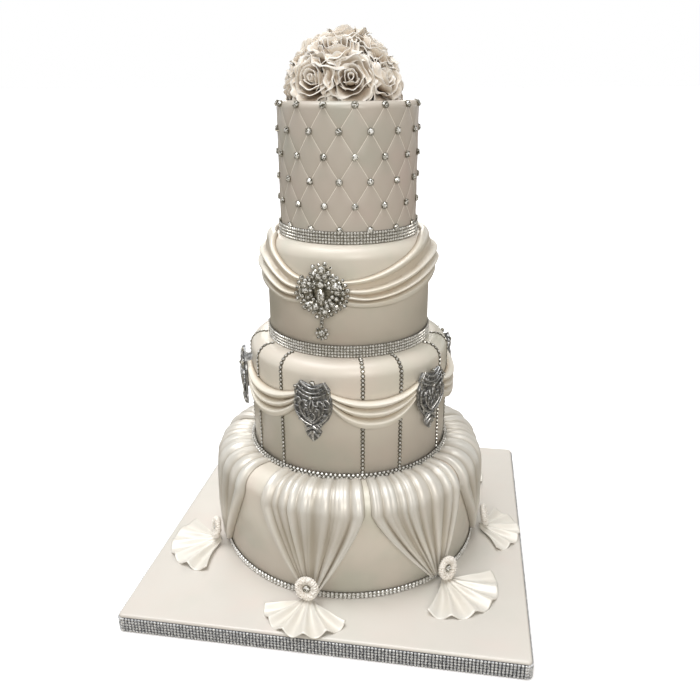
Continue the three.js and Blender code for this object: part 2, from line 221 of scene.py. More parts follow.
# %% Shader helper
class Signal:
    def __init__(self, recipe, socket):
        self.recipe, self.socket = recipe, socket

    def _math(self, operation, a, b=0.0):
        return self.recipe.node("ShaderNodeMath", {"operation": operation}, {0: a, 1: b}).out()

    def __add__(self, other):
        return self._math("ADD", self, other)

    def __sub__(self, other):
        return self._math("SUBTRACT", self, other)

    def __rsub__(self, other):
        return self._math("SUBTRACT", other, self)

    def __mul__(self, other):
        return self._math("MULTIPLY", self, other)

    def __truediv__(self, other):
        return self._math("DIVIDE", self, other)

    __radd__, __rmul__ = __add__, __mul__

    def least(self, other):
        return self._math("MINIMUM", self, other)

    def fraction(self):
        return self._math("FRACT", self)

    def angle_from(self, other):
        return self._math("ARCTAN2", self, other)

    def stepped(self, low, high):
        settings = {"interpolation_type": "SMOOTHSTEP"}
        return self.recipe.node("ShaderNodeMapRange", settings, {0: self, 1: low, 2: high}).out()


class Node:
    def __init__(self, recipe, node):
        self.recipe, self.node = recipe, node

    def out(self, name=0):
        return Signal(self.recipe, self.node.outputs[name])


class Recipe:
    """One finish, written node by node. The sky is written the same way, on the world."""
    def __init__(self, name, owner=None):
        self.owner = owner or bpy.data.materials.new(name)
        self.owner.use_nodes = True
        self.tree = self.owner.node_tree
        self.tree.nodes.clear()
        self.looked = self.node("ShaderNodeTexCoord")
        self.place = self.looked.out("Object")

    def node(self, kind, settings=None, sockets=None):
        made = self.tree.nodes.new(kind)
        for key, value in (settings or {}).items():
            setattr(made, key, value)
        for key, value in (sockets or {}).items():
            socket = made.inputs[key]
            if isinstance(value, Signal):
                self.tree.links.new(value.socket, socket)
            else:
                socket.default_value = (*value, 1) if socket.type == "RGBA" else value
        return Node(self, made)

    def noise(self, scale, detail):
        sockets = {"Vector": self.place, "Scale": scale, "Detail": detail}
        return self.node("ShaderNodeTexNoise", None, sockets).out(0)

    def mark(self, name):
        """The number that a laid sheet keeps under this name."""
        return self.node("ShaderNodeAttribute", {"attribute_name": name}).out("Fac")

    def cells(self, scale):
        made = self.node("ShaderNodeTexVoronoi", None, {"Vector": self.place, "Scale": scale})
        return self.node("ShaderNodeSeparateColor", None, {0: made.out("Color")}).out(0)

    def blend(self, amount, a, b):
        sockets = {0: amount, 6: a, 7: b}
        return self.node("ShaderNodeMix", {"data_type": "RGBA"}, sockets).out(2)

    def ramp(self, amount, *stops):
        made = self.node("ShaderNodeValToRGB", None, {0: amount})
        elements = made.node.color_ramp.elements
        while len(elements) < len(stops):
            elements.new(0.5)
        for element, (position, colour) in zip(elements, stops):
            element.position = position
            element.color = (*colour, 1)
        return made.out(0)

    def bump(self, height, distance, strength, under=None):
        sockets = {"Height": height, "Distance": distance, "Strength": strength}
        if under:
            sockets["Normal"] = under
        return self.node("ShaderNodeBump", None, sockets).out(0)

    def shade(self, sockets):
        surface = self.node("ShaderNodeBsdfPrincipled", None, sockets).out(0)
        self.node("ShaderNodeOutputMaterial", None, {0: surface})
        print("finish", self.owner.name, "has", len(self.tree.nodes), "nodes")
        return self.owner

# %% [markdown]
# ## The icings
# The tiers and the board wear rolled ivory paste. Close up it is never one colour: the paste
# carries faint warm and cool clouds, its surface dips where hands smoothed it, and a dusting of
# lustre gives it a soft shine.

# %% Rolled icings
ICING_TONES = {
    "rolled_icing": ((0.80, 0.74, 0.65), (0.81, 0.72, 0.635), (0.71, 0.695, 0.60)),
    "board_icing": ((0.665, 0.63, 0.58), (0.68, 0.62, 0.57), (0.63, 0.61, 0.555)),
    "quilted_icing": ((0.60, 0.54, 0.475), (0.62, 0.53, 0.475), (0.52, 0.505, 0.435)),
}


def icing_recipe(name):
    """Plain, warm and cool clouds over soft dips and a fine grain."""
    tone, warm, cool = ICING_TONES[name]
    recipe = Recipe(name)
    clouds = recipe.noise(9, 3)
    tint = recipe.blend(clouds.stepped(0.35, 0.65), warm, cool)
    colour = recipe.blend(recipe.noise(23, 2).stepped(0.3, 0.7), tone, tint)
    rough = 0.36 + 0.14 * recipe.noise(60, 3)
    hands = recipe.bump(recipe.noise(14, 1), 0.0012, 0.35)
    grain = recipe.bump(recipe.noise(900, 3), 0.00008, 0.5, hands)
    return recipe, {"Base Color": colour, "Roughness": rough, "Normal": grain,
                    "Coat Weight": 0.4, "Coat Roughness": 0.3, "Specular IOR Level": 0.55}


recipe, sockets = icing_recipe("rolled_icing")
ROLLED_ICING = recipe.shade(sockets)
recipe, sockets = icing_recipe("board_icing")
BOARD_ICING = recipe.shade(sockets)

# %% [markdown]
# ## Polished and petal pastes
# The drapes, fans, swags and rosettes are modelled from the same paste and polished with pearl
# dust, the drapes most of all. Little light comes down between two folds, so a fold keeps a
# number that says how far it stands out, and the finish paints shade, darker and warmer, where
# that number is low. The roses are thinner and matter. Their petals keep how far they reach from
# the root in the same way, and their colour climbs from a painted brown shade at the root to a
# pale lip, whitest at its edge as a painted highlight.

# %% Pastes of the folds and petals
# Each paste has a plain tone, a warm tone and a painted shade colour for the valleys.
LUSTRED_TONES = {
    "pearl_icing": ((0.765, 0.745, 0.695), (0.765, 0.725, 0.66), (0.47, 0.42, 0.34)),
    "fan_icing": ((0.76, 0.735, 0.68), (0.76, 0.72, 0.65), (0.54, 0.48, 0.4)),
    "satin_icing": ((0.86, 0.82, 0.74), (0.86, 0.805, 0.70), (0.56, 0.47, 0.36)),
    "white_paste": ((0.88, 0.845, 0.79), (0.85, 0.8, 0.735), (0.52, 0.43, 0.34)),
}


def lustred(name, shine, rough, reach=0.6, coat=0.3):
    """Plain and warm clouds with painted shade in the valleys: more shine is more pearl dust."""
    tone, warm, painted_shade = LUSTRED_TONES[name]
    recipe = Recipe(name)
    lustre = recipe.noise(400, 4)
    dusted = recipe.blend(recipe.noise(30, 3).stepped(0.3, 0.7), tone, warm)
    # Painted shade: the colour sinks to the shade colour where the crest number is low.
    colour = recipe.blend(recipe.mark("crest").stepped(0.0, reach), painted_shade, dusted)
    satin = recipe.bump(recipe.noise(30, 1), 0.0006, 0.15)
    satin = recipe.bump(lustre, 0.00006, 0.4, satin)
    return recipe.shade({
        "Base Color": colour, "Roughness": rough + 0.12 * lustre, "Metallic": shine + 0.1 * lustre,
        "Normal": satin, "Coat Weight": coat, "Coat Roughness": 0.26, "Specular IOR Level": 0.5})


PEARL_ICING = lustred("pearl_icing", 0.2, 0.38, reach=0.8, coat=0.16)
FAN_ICING = lustred("fan_icing", 0.06, 0.36)
SATIN_ICING = lustred("satin_icing", 0.03, 0.34, reach=0.68)
WHITE_PASTE = lustred("white_paste", 0.0, 0.5)

# Painted shade, brown at the petal root, climbing to a pale lip that is whitest at its edge, a painted
# highlight.
PETAL_PAINTED_LIGHT = ((0.0, (0.28, 0.2, 0.135)), (0.5, (0.6, 0.505, 0.41)), (0.82, (0.87, 0.795, 0.7)),
               (1.0, (1.0, 0.97, 0.925)))
recipe = Recipe("rose_paste")
petal = recipe.ramp(recipe.mark("reach"), *PETAL_PAINTED_LIGHT)
veins = recipe.noise(260, 3)
ROSE_PASTE = recipe.shade({
    "Base Color": petal, "Roughness": 0.5 + 0.15 * veins, "Specular IOR Level": 0.35,
    "Normal": recipe.bump(veins, 0.0002, 0.5), "Subsurface Weight": 0.15,
    "Subsurface Radius": (0.003, 0.0028, 0.0024), "Subsurface Scale": 1.0})

# %% [markdown]
# ## Silver and crystal
# The ribbons are rows of cut beads on a silver mesh, the crests are dark cast metal whose high
# places take a brighter metal as a painted highlight, and the brooch is set with foil-backed
# stones. A cut stone sparkles because its facets show light and dark at random, so its colour is
# picked facet by facet from a fine pattern of cells, as painted glints and dark reflections.

# %% Metal and stone finishes
def metal(name, dark, light, scale, roughness):
    recipe = Recipe(name)
    worn = recipe.noise(scale, 4)
    colour = recipe.blend(worn.stepped(0.35, 0.65), dark, light)
    return recipe.shade({"Base Color": colour, "Metallic": 1.0, "Roughness": roughness + 0.15 * worn,
                         "Normal": recipe.bump(worn, 0.0002, 0.4)})


def sparkle(name, scale, roughness, metallic, *stops):
    recipe = Recipe(name)
    # The cells paint glints and dark reflections onto the facets.
    colour = recipe.ramp(recipe.cells(scale), *stops)
    return recipe.shade({"Base Color": colour, "Metallic": metallic, "Roughness": roughness,
                         "Coat Weight": 0.6, "Coat Roughness": 0.05})


WHITE = (1.0, 1.0, 1.0)
SILVER = metal("silver", (0.22, 0.205, 0.165), (0.5, 0.48, 0.41), 500, 0.26)
MESH_BACK = metal("mesh_backing", (0.16, 0.15, 0.125), (0.34, 0.325, 0.28), 800, 0.5)
CHAIN = metal("chain_cups", (0.11, 0.1, 0.075), (0.27, 0.245, 0.19), 900, 0.4)
CREST_METAL = metal("crest_metal", (0.19, 0.192, 0.195), (0.47, 0.472, 0.475), 350, 0.34)
# The scrolls, ribs and grains take this brighter metal as a painted highlight.
CREST_PAINTED_HIGHLIGHT = metal("crest_highlight", (0.34, 0.342, 0.345), (0.8, 0.8, 0.8), 500, 0.22)
BEAD_SILVER = sparkle("bead_silver", 900, 0.2, 0.2,
                      (0.0, (0.3, 0.29, 0.255)), (0.4, (0.7, 0.69, 0.65)), (1.0, WHITE))
CRYSTAL = sparkle("crystal", 800, 0.06, 0.25, (0.0, (0.03, 0.028, 0.02)), (0.34, (0.2, 0.185, 0.135)),
                  (0.46, (0.85, 0.84, 0.79)), (1.0, WHITE))

# %% [markdown]
# ## The board and the tiers
# A tier is a drum whose top edge is rounded by the paste folding over it. A cone operator with
# equal radii makes the drum, and a bevel with many segments rounds the edge. A ring inset into
# the flat top keeps the shading flat there. The board is a slab bevelled the same way.

# %% Board
BOARD_CORNER, BOARD_EDGE = 5.0, 3.0


def standing_edges(bm):
    return [e for e in bm.edges if abs(e.verts[0].co.z - e.verts[1].co.z) > MM]


def rim_edges(bm, height):
    """The edges round a flat top."""
    level = height * MM - 1e-5
    return [e for e in bm.edges if e.verts[0].co.z > level and e.verts[1].co.z > level]


def round_edges(bm, edges, size, segments):
    bmesh.ops.bevel(bm, geom=edges, offset=size * MM, offset_type="OFFSET", segments=segments,
                    profile=0.5, affect="EDGES", material=-1)


low, high = box_mm("board")
half, thick = high[0], high[2]
bm = bmesh.new()
bmesh.ops.create_cube(bm, size=1)
bmesh.ops.scale(bm, vec=Vector((2 * half, 2 * half, thick)) * MM, verts=bm.verts)
bmesh.ops.translate(bm, vec=(0, 0, thick / 2 * MM), verts=bm.verts)
round_edges(bm, standing_edges(bm), BOARD_CORNER, 5)
round_edges(bm, rim_edges(bm, thick), BOARD_EDGE, 5)
finish_piece(bm, "iced_board", [BOARD_ICING], ["board"])
print("board", round(2 * half, 1), "mm square,", round(thick, 1), "mm thick")

# %% Plain tiers
DRUM_SIDES = 200


def drum(tier):
    bm = bmesh.new()
    height = (tier.top - tier.bottom) * MM
    bmesh.ops.create_cone(bm, cap_ends=True, segments=DRUM_SIDES, radius1=tier.radius * MM,
                          radius2=tier.radius * MM, depth=height)
    bmesh.ops.translate(bm, vec=(0, 0, tier.bottom * MM + height / 2), verts=bm.verts)
    round_edges(bm, rim_edges(bm, tier.top), tier.edge, 10)
    caps = [f for f in bm.faces if len(f.verts) > 20]
    bmesh.ops.inset_region(bm, faces=caps, thickness=1.5 * MM)
    return bm


for tier in tiers[:3]:
    finish_piece(drum(tier), tier.node + "_icing", [ROLLED_ICING], [tier.node])
print("three drums,", tally["triangles"], "triangles so far")

# %% [markdown]
# ## The quilted tier
# The top tier is pressed all round with crossing lines, and a stone sits at each crossing. The
# crossings lie in six rows, every second row shifted by half a step. The paste swells a little
# inside each diamond. That swelling and the grooves are real shape here, laid over a fine
# grid. The finish paints each line a shade lighter, a painted highlight along the groove, and
# bumps its bottom crisp. The lines end at the top row, below the rim.

# %% Quilted tier
QUILT = {"stones": 15, "rows": 6, "top_row": 556.0, "pitch": 25.0, "turn": -75.34}
# "line" is the square of a line's half width, as a share of the gap between two lines.
GROOVES = {"apart": 27.7, "depth": 0.26, "width": 0.9, "swell": 0.36, "swell_width": 4.5,
           "line": 0.00045, "line_highlight": (0.93, 0.87, 0.78)}
STEP = 360 / QUILT["stones"]
quilted = tiers[3]


def quilt_relief(azimuth, z):
    across = (azimuth - QUILT["turn"]) / STEP
    up = (z - QUILT["top_row"]) / (2 * QUILT["pitch"])
    sink = 0.0
    for crossing in (across + up, across - up):
        share = abs((crossing + 0.5) % 1.0 - 0.5)
        distance = share * GROOVES["apart"]
        sink += GROOVES["depth"] * exp(-(distance / GROOVES["width"]) ** 2)
        sink += GROOVES["swell"] * exp(-(distance / GROOVES["swell_width"]) ** 2)
    fade = smooth((QUILT["top_row"] + 2 - z) / 4)
    return -sink * fade


QUILT_BOTTOM, QUILT_CAP = quilted.reaches(quilted.bottom), -14


def quilted_place(u, v):
    distance = mix(QUILT_BOTTOM, QUILT_CAP, v)
    azimuth = 360 * u
    z = quilted.skin(distance)[1]
    return quilted.over(distance, azimuth, quilt_relief(azimuth, z))


bm = laid_sheet(540, 150, quilted_place, ring=True)
close_holes(bm)

# %% Finish of the quilt
recipe, sockets = icing_recipe("quilted_icing")
axes = recipe.node("ShaderNodeSeparateXYZ", None, {0: recipe.place})
around = axes.out("Y").angle_from(axes.out("X")) - radians(QUILT["turn"])
around = around * (QUILT["stones"] / (2 * pi))
upward = (axes.out("Z") - QUILT["top_row"] * MM) / (2 * QUILT["pitch"] * MM)
line_a = (around + upward + 0.5).fraction() - 0.5
line_b = (around - upward + 0.5).fraction() - 0.5
nearest = (line_a * line_a).least(line_b * line_b)
above = axes.out("Z").stepped(QUILT["top_row"] * MM, (QUILT["top_row"] + 3) * MM)
off_line = 1 - (1 - nearest.stepped(0.0, GROOVES["line"])) * (1 - above)
sockets["Normal"] = recipe.bump(off_line, 0.0005, 0.5, sockets["Normal"])
# Painted highlight: each line is a shade lighter.
sockets["Base Color"] = recipe.blend(off_line, GROOVES["line_highlight"], sockets["Base Color"])
QUILTED_ICING = recipe.shade(sockets)
finish_piece(bm, "tier_4_icing", [QUILTED_ICING], ["tier_4"])
print("quilt has", QUILT["stones"] * QUILT["rows"], "crossings,", tally["triangles"], "triangles so far")

# %% [markdown]
# ## Stones and beads
# Each crossing of the quilt holds a round cut stone in a silver cup. A cup is a short cone, the
# stone's crown is a flatter cone with eight facets and a table, and four claws hold it. One
# stone is made on each row, and a spin that duplicates carries it round the tier.

# %% Cut stones
FACETS, CLAWS = 8, 4


def facing(radius, azimuth, z, lean=0.0):
    """Turns a piece that looks along +Z so that it looks outward, leaning up by some degrees."""
    return turned(azimuth) @ moved(radius, 0, z) @ turned(90 - lean, "Y")


def cone(bm, low_radius, high_radius, height, sides, matrix, at=0.0, slot=0):
    made = bmesh.ops.create_cone(bm, cap_ends=True, segments=sides, radius1=low_radius * MM,
                                 radius2=high_radius * MM, depth=height * MM,
                                 matrix=matrix @ moved(0, 0, at + height / 2))
    for face in {f for v in made["verts"] for f in v.link_faces}:
        face.material_index = slot


def cut_stone(bm, radius, matrix, stretch=(1, 1)):
    """Cup and claws in finish 0, the stone itself in finish 1."""
    shaped = matrix @ Matrix.Diagonal((*stretch, 1, 1))
    cone(bm, 0.72 * radius, radius, 0.55 * radius, 2 * FACETS, shaped)
    cone(bm, 0.86 * radius, 0.78 * radius, 0.16 * radius, FACETS, shaped, 0.52 * radius, 1)
    cone(bm, 0.78 * radius, 0.42 * radius, 0.34 * radius, FACETS, shaped, 0.68 * radius, 1)
    for k in range(CLAWS):
        claw = shaped @ turned(360 * (k + 0.5) / CLAWS) @ moved(0.86 * radius, 0, 0)
        cone(bm, 0.16 * radius, 0.1 * radius, 0.95 * radius, 5, claw)


def everything(bm):
    return bm.verts[:] + bm.edges[:] + bm.faces[:]


def spin(bm, geom, angle, steps, centre=(0, 0, 0), **settings):
    bmesh.ops.spin(bm, geom=geom, cent=centre, axis=(0, 0, 1), angle=angle, steps=steps, **settings)


def carry_round(bm, copies):
    spin(bm, everything(bm), 2 * pi * (copies - 1) / copies, copies - 1, use_duplicate=True)


# %% Stones of the quilt
STONE_RADIUS = 3.9
bm = bmesh.new()
for row in range(QUILT["rows"]):
    z = QUILT["top_row"] - QUILT["pitch"] * row
    azimuth = QUILT["turn"] + (STEP / 2 if row % 2 else 0)
    lean, sunk = (30, 1.8) if row == 0 else (4, 1.4)
    cut_stone(bm, STONE_RADIUS, facing(quilted.radius - sunk, azimuth, z, lean))
carry_round(bm, QUILT["stones"])
quilt_stones = faceted_piece(bm, "quilt_stones", [SILVER, CRYSTAL])
print("quilt stones", len(quilt_stones.data.polygons), "faces")

# %% [markdown]
# ## Beaded ribbons
# Each tier stands in a ribbon of silver mesh with rows of cut beads, and a wider one runs round
# the board. A column of beads is made once and carried round by the spin that duplicates. Each
# bead is a cone with a table, so a thousand of them stay light. The strip of mesh behind them is
# a rectangle swept round by the same spin.

# %% Ribbons of the tiers
BEAD_SIDES, ROUND_SIDES = 6, 8
RIBBON = {"gap": 0.3, "stands": 0.9, "sunk": 0.1, "steps": 160}


def bead(bm, radius, matrix, sides=BEAD_SIDES):
    cone(bm, radius, 0.62 * radius, 0.7 * radius, sides, matrix, slot=1)


def band_section(bm, inner, outer, low, high):
    corners = [bm.verts.new(Vector((radius, 0, z)) * MM)
               for radius, z in ((inner, low), (outer, low), (outer, high), (inner, high))]
    return corners + [bm.edges.new((corners[k], corners[(k + 1) % 4])) for k in range(4)]


def beaded_ribbon(node, tier, rows, pitch):
    low, high = box_mm(node)
    face = high[1] - RIBBON["stands"]
    bm = bmesh.new()
    copies = round(2 * pi * face / pitch)
    spacing = (high[2] - low[2]) / rows
    for row in range(rows):
        z = low[2] + spacing * (row + 0.5)
        bead(bm, 0.45 * pitch, facing(face - RIBBON["sunk"], 0, z), ROUND_SIDES)
    carry_round(bm, copies)
    section = band_section(bm, tier.radius + RIBBON["gap"], face, low[2], high[2])
    spin(bm, section, 2 * pi, RIBBON["steps"], use_merge=True)
    faceted_piece(bm, node + "_beads", [MESH_BACK, BEAD_SILVER], [node], turn_out=True)
    print(node, rows, "rows of", copies, "beads")


beaded_ribbon("ribbon_1", tiers[0], 2, 4.9)
beaded_ribbon("ribbon_3", tiers[2], 4, 3.5)
beaded_ribbon("ribbon_4", tiers[3], 4, 3.5)

# %% Bead trim at the foot of the second tier
TRIM = {"cord": 2.4, "pitch": 5.1, "bead": 1.8}
TRIM_ROWS = ((0.4, 1.6, 55), (2.2, -0.6, 20))
low, high = box_mm("bead_trim_2")
trim_radius, trim_z = tiers[1].radius + TRIM["cord"], low[2] + TRIM["cord"]
bm = bmesh.new()
copies = round(2 * pi * trim_radius / TRIM["pitch"])
for row, (out, up, lean) in enumerate(TRIM_ROWS):
    matrix = facing(trim_radius + out, 180 / copies * row, trim_z + up, lean)
    cone(bm, 2.1, 1.9, 1.2, ROUND_SIDES, matrix, at=-1.0)
    bead(bm, TRIM["bead"], matrix)
carry_round(bm, copies)
faceted_piece(bm, "foot_beads_2", [MESH_BACK, BEAD_SILVER], ["bead_trim_2"], turn_out=True)
print("foot of the second tier, two rows of", copies)

# %% [markdown]
# ## The board's band
# The band is bent round a square with rounded corners. One column of beads is copied along one
# side and round one corner, and that quarter is carried round to the other three sides. Its
# silver is cooler than the ribbons', because it is another sort of mesh.

# %% Beads of one side and one corner
BAND = {"corner": 6.6, "rows": 5, "pitch": 3.8, "stands": 1.35}
low, high = box_mm("board_band")
face = high[0] - BAND["stands"]
straight = face - BAND["corner"]
columns = round(2 * straight / BAND["pitch"])
spacing = (high[2] - low[2]) / BAND["rows"]
bm = bmesh.new()
for row in range(BAND["rows"]):
    look_out = moved(straight, -face, low[2] + spacing * (row + 0.5)) @ turned(90, "X")
    bead(bm, 0.46 * BAND["pitch"], look_out)
corner = Vector((straight, -straight, 0)) * MM
column_step = (-2 * straight / columns * MM, 0, 0)
seed = everything(bm)
spin(bm, seed, radians(66), 3, centre=corner, use_duplicate=True)
spin(bm, seed, 0, columns, centre=corner, dvec=column_step, use_duplicate=True)
spin(bm, everything(bm), 1.5 * pi, 3, use_duplicate=True)

# %% Mesh behind the beads
strip = bmesh.new()
bmesh.ops.create_cube(strip, size=1)
bmesh.ops.delete(strip, geom=[f for f in strip.faces if abs(f.normal.z) > 0.5], context="FACES_ONLY")
bmesh.ops.scale(strip, vec=Vector((2 * face - 0.6, 2 * face - 0.6, high[2] - low[2])) * MM, verts=strip.verts)
bmesh.ops.translate(strip, vec=(0, 0, (low[2] + high[2]) / 2 * MM), verts=strip.verts)
round_edges(strip, standing_edges(strip), BAND["corner"], 4)
bmesh.ops.solidify(strip, geom=strip.faces[:], thickness=0.8 * MM)
add_into(bm, strip)
BAND_BACK = metal("band_backing", (0.1, 0.106, 0.118), (0.25, 0.262, 0.285), 800, 0.5)
BAND_SILVER = sparkle("band_silver", 900, 0.18, 0.2,
                      (0.0, (0.22, 0.228, 0.245)), (0.38, (0.64, 0.655, 0.69)), (0.8, WHITE))
band = faceted_piece(bm, "board_band_beads", [BAND_BACK, BAND_SILVER], ["board_band"])
print("board band", BAND["rows"], "rows,", 4 * columns, "beads long,", len(band.data.polygons), "faces")

# %% [markdown]
# ## Strips of stones on the second tier
# Single rows of small stones run from the ribbon above, over the rounded edge and down to the
# foot. One strip is made along the skin, and copies of it are turned to their places. Each
# stone is small in a wide dark cup, so a strip reads as a chain from afar.

# %% Strips
STRIP_AZIMUTHS = [-168, -142.5, -120, -73.5, -52, -19.5, 1.5, 50, 70, 109, 127, 163]
STRIP = {"pitch": 4.9, "from_ribbon": 3.4, "above_foot": 3}
CUP = {"low": 2.7, "high": 2.5, "height": 0.8}
second = tiers[1]
start = tiers[2].radius + STRIP["from_ribbon"] - (second.radius - second.edge)
end = second.reaches(second.bottom + STRIP["above_foot"])
count = int((end - start) / STRIP["pitch"])
single = bmesh.new()
for k in range(count):
    r, z, out, up = second.skin(start + STRIP["pitch"] * (k + 0.5))
    matrix = facing(r, 0, z, degrees(atan2(up, out)))
    cone(single, CUP["low"], CUP["high"], CUP["height"], ROUND_SIDES, matrix)
    cone(single, 1.6, 1.05, 0.9, BEAD_SIDES, matrix, CUP["height"], 1)
single_mesh = mesh_of(single, "strip")
bm = bmesh.new()
for azimuth in STRIP_AZIMUTHS:
    before = len(bm.verts)
    bm.from_mesh(single_mesh)
    bm.verts.ensure_lookup_table()
    bmesh.ops.rotate(bm, matrix=turned(azimuth).to_3x3(), verts=bm.verts[before:])
faceted_piece(bm, "stone_strips", [CHAIN, BEAD_SILVER])
print(len(STRIP_AZIMUTHS), "strips of", count, "stones")

# %% [markdown]
# ## Draped panels of the bottom tier
# Seven cloths of paste are pleated, tucked under the bead trim, laid over the rounded edge and
# drawn together near the board. Every fold is a rounded ridge with a narrow valley beside it.
# No two are alike, so widths, heights and leans are drawn from a seeded list, and finer pleats
# are laid over the broad ones. The cloth is a laid sheet: the rule gives the tier's skin, and
# the folds stand off it.

# %% Folds that differ from one another
ANY_PHASE = (0, 6.28)


def fold_rule(seed, count, sharp):
    """A rule that says how high the cloth stands (0 to 1) at u, at a share v of its way down."""
    dice = random.Random(seed)
    widths = [dice.uniform(0.55, 1.6) for _ in range(count)]
    widths[0] = widths[-1] = 1.0
    edges = [sum(widths[:k]) / sum(widths) for k in range(count + 1)]
    tall = [dice.uniform(0.4, 1.0) for _ in range(count)]
    lean = [dice.choice((0.72, 0.85, 1.2, 1.4)) for _ in range(count)]
    phase = [dice.uniform(*ANY_PHASE) for _ in range(count)]
    tall[0] = tall[-1] = 1.0

    def rule(u, v):
        drift = 0.012 * sin(5.0 * v + phase[0]) * sin(pi * u)
        u = min(0.9999, max(0.0, u + drift))
        k = next(i for i in range(count) if u <= edges[i + 1])
        t = (u - edges[k]) / (edges[k + 1] - edges[k])
        ridge = sin(pi * min(1.0, max(0.0, t)) ** lean[k]) ** sharp
        return ridge * tall[k] * (0.85 + 0.15 * sin(4.2 * v + phase[k]))
    return rule


# %% Where the panels hang
first = tiers[0]
DRAPE = {"start": 126.6, "end": 31.5, "neck": 0.15, "bow": 0.85, "tips": 4.6, "body": (0.6, 3.4),
         "fold": (4.4, 7.6), "hem": 0.022}
ARC = first.edge * pi / 2
DRAPE_FROM = DRAPE["start"] - (first.radius - first.edge)
DRAPE_TO = first.reaches(DRAPE["end"])
RIM_BAND = 8
FAN_CENTRE = 170


def corners_of(node):
    return [v.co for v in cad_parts[node].data.vertices]


def panel_of(k):
    gather = azimuth_of(node_middle(f"rosette_{k}"))
    near_rim = [co for co in corners_of(f"drape_{k}") if co.z > (first.top - RIM_BAND) * MM]
    rim = [(azimuth_of(co) - gather + 180) % 360 - 180 for co in near_rim]
    centre = polar(FAN_CENTRE, gather, 0)
    reach = max((Vector((co.x, co.y, 0)) - centre).length for co in corners_of(f"fan_{k}")) / MM
    return {"gather": gather, "from": gather + min(rim), "to": gather + max(rim), "reach": reach}


panels = {k: panel_of(k) for k in range(1, 8)}
for k, panel in panels.items():
    print("panel", k, {key: round(value, 1) for key, value in panel.items()})

# %% Draped panels
for k, panel in panels.items():
    rule = fold_rule(40 + k, 8, 1.1)
    fine = fold_rule(60 + k, 17, 0.9)
    wander = random.Random(k).uniform(0, 50)

    def drape_place(u, v):
        tip = DRAPE["tips"] * rule(u, 0) ** 0.5 * (1 - smooth(v / 0.08))
        distance = mix(DRAPE_FROM, DRAPE_TO, v) - tip
        drop = max(0.0, (distance - ARC) / (DRAPE_TO - ARC))
        narrow = mix(1, DRAPE["neck"], drop ** (1 / DRAPE["bow"]))
        azimuth = panel["gather"] + (mix(panel["from"], panel["to"], u) - panel["gather"]) * narrow
        hem = smooth(min(u, 1 - u) / DRAPE["hem"])
        tuck = mix(0.15, 1, smooth(v / 0.03))
        body = mix(*DRAPE["body"], smooth(v * 1.9)) * (1 - 0.3 * smooth((v - 0.72) / 0.28))
        fold = mix(*DRAPE["fold"], smooth(v * 2.2)) * (1 - 0.25 * smooth((v - 0.7) / 0.3))
        uneven = 0.4 * noise.noise(Vector((u * 5, v * 2.5, wander)))
        ridge = 0.82 * rule(u, v) + 0.18 * fine(u, v)
        height = 0.5 + hem * tuck * (body + fold * ridge + uneven)
        # The mark is the fold's height, painted shade in the valleys, plus a painted highlight over the top
        # and the bend.
        return first.over(distance, azimuth, height), ridge + 0.25 * (1 - smooth((v - 0.25) / 0.3))

    bm = laid_sheet(150, 62, drape_place, mark="crest")
    modelled_piece(bm, f"draped_panel_{k}", PEARL_ICING, f"drape_{k}", 0.45)
print("panels done,", tally["triangles"], "triangles so far")

# %% [markdown]
# ## Fans and rosettes
# Below the gather the cloth opens again into a pleated fan that lies on the board. Its ridges
# are narrow, the cloth between them dips, and its free edge waves up and down. A rosette of
# cream paste with a stone hides the gather. It is a ring whose section is carried round while
# many fine ruffles and crumbs push it in and out.

# %% Fans
BOARD_TOP = box_mm("board")[1][2]
FAN = {"inner": 5, "spread": 61, "side_share": 0.92, "pleats": 5, "wave": 6.6, "hem": 2.5}
FAN_SKEW = {2: 0.07, 5: -0.05}


def fan_piece(name, panel):
    dice = random.Random(90 + name)
    tall = [dice.uniform(0.65, 1.0) for _ in range(FAN["pleats"] + 1)]
    centre = polar(FAN_CENTRE, panel["gather"], 0)
    skew = FAN_SKEW.get(name, 0)

    def place(u, v):
        side = 2 * u - 1
        slot = u * FAN["pleats"]
        ridge = abs(cos(pi * slot)) ** 2.4 * tall[round(slot)]
        reach = (panel["reach"] - FAN["hem"]) * mix(1, FAN["side_share"], side * side) * (1 + skew * side)
        reach += 2.2 * v * sin(pi * (slot % 1.0))
        radius = mix(FAN["inner"], reach, v)
        lift = 0.6 + FAN["wave"] * ridge * smooth(v * 1.6) + 9.0 * (1 - v) ** 3 * (1 - 0.5 * side * side)
        lift += 0.5 * v * sin(9 * u + name)
        spread = FAN["spread"] * side * mix(0.8, 1, v)
        # Painted shade: the mark is lower in the valleys and near the gather.
        lit_share = 0.35 + 0.4 * ridge + 0.3 * smooth(v * 1.5)
        return centre + polar(radius, panel["gather"] + spread, BOARD_TOP + lift), lit_share

    return laid_sheet(144, 26, place, mark="crest")


for k, panel in panels.items():
    modelled_piece(fan_piece(k, panel), f"pleated_fan_{k}", FAN_ICING, f"fan_{k}", 1.3, 1.0)
print("fans done,", tally["triangles"], "triangles so far")

# %% Rosettes
ROSETTE = {"radius": 14.0, "depth": 8.0, "out": 175.4, "height": 44.5, "lean": 12, "ruffles": 29,
           "stone": 4.6, "seat": 2.6}
RUFFLE_SECTION = ((0.2, 0.30), (0.34, 0.62), (0.52, 0.88), (0.72, 1.0), (0.9, 0.86), (1.0, 0.55),
                  (0.94, 0.22), (0.7, 0.02))


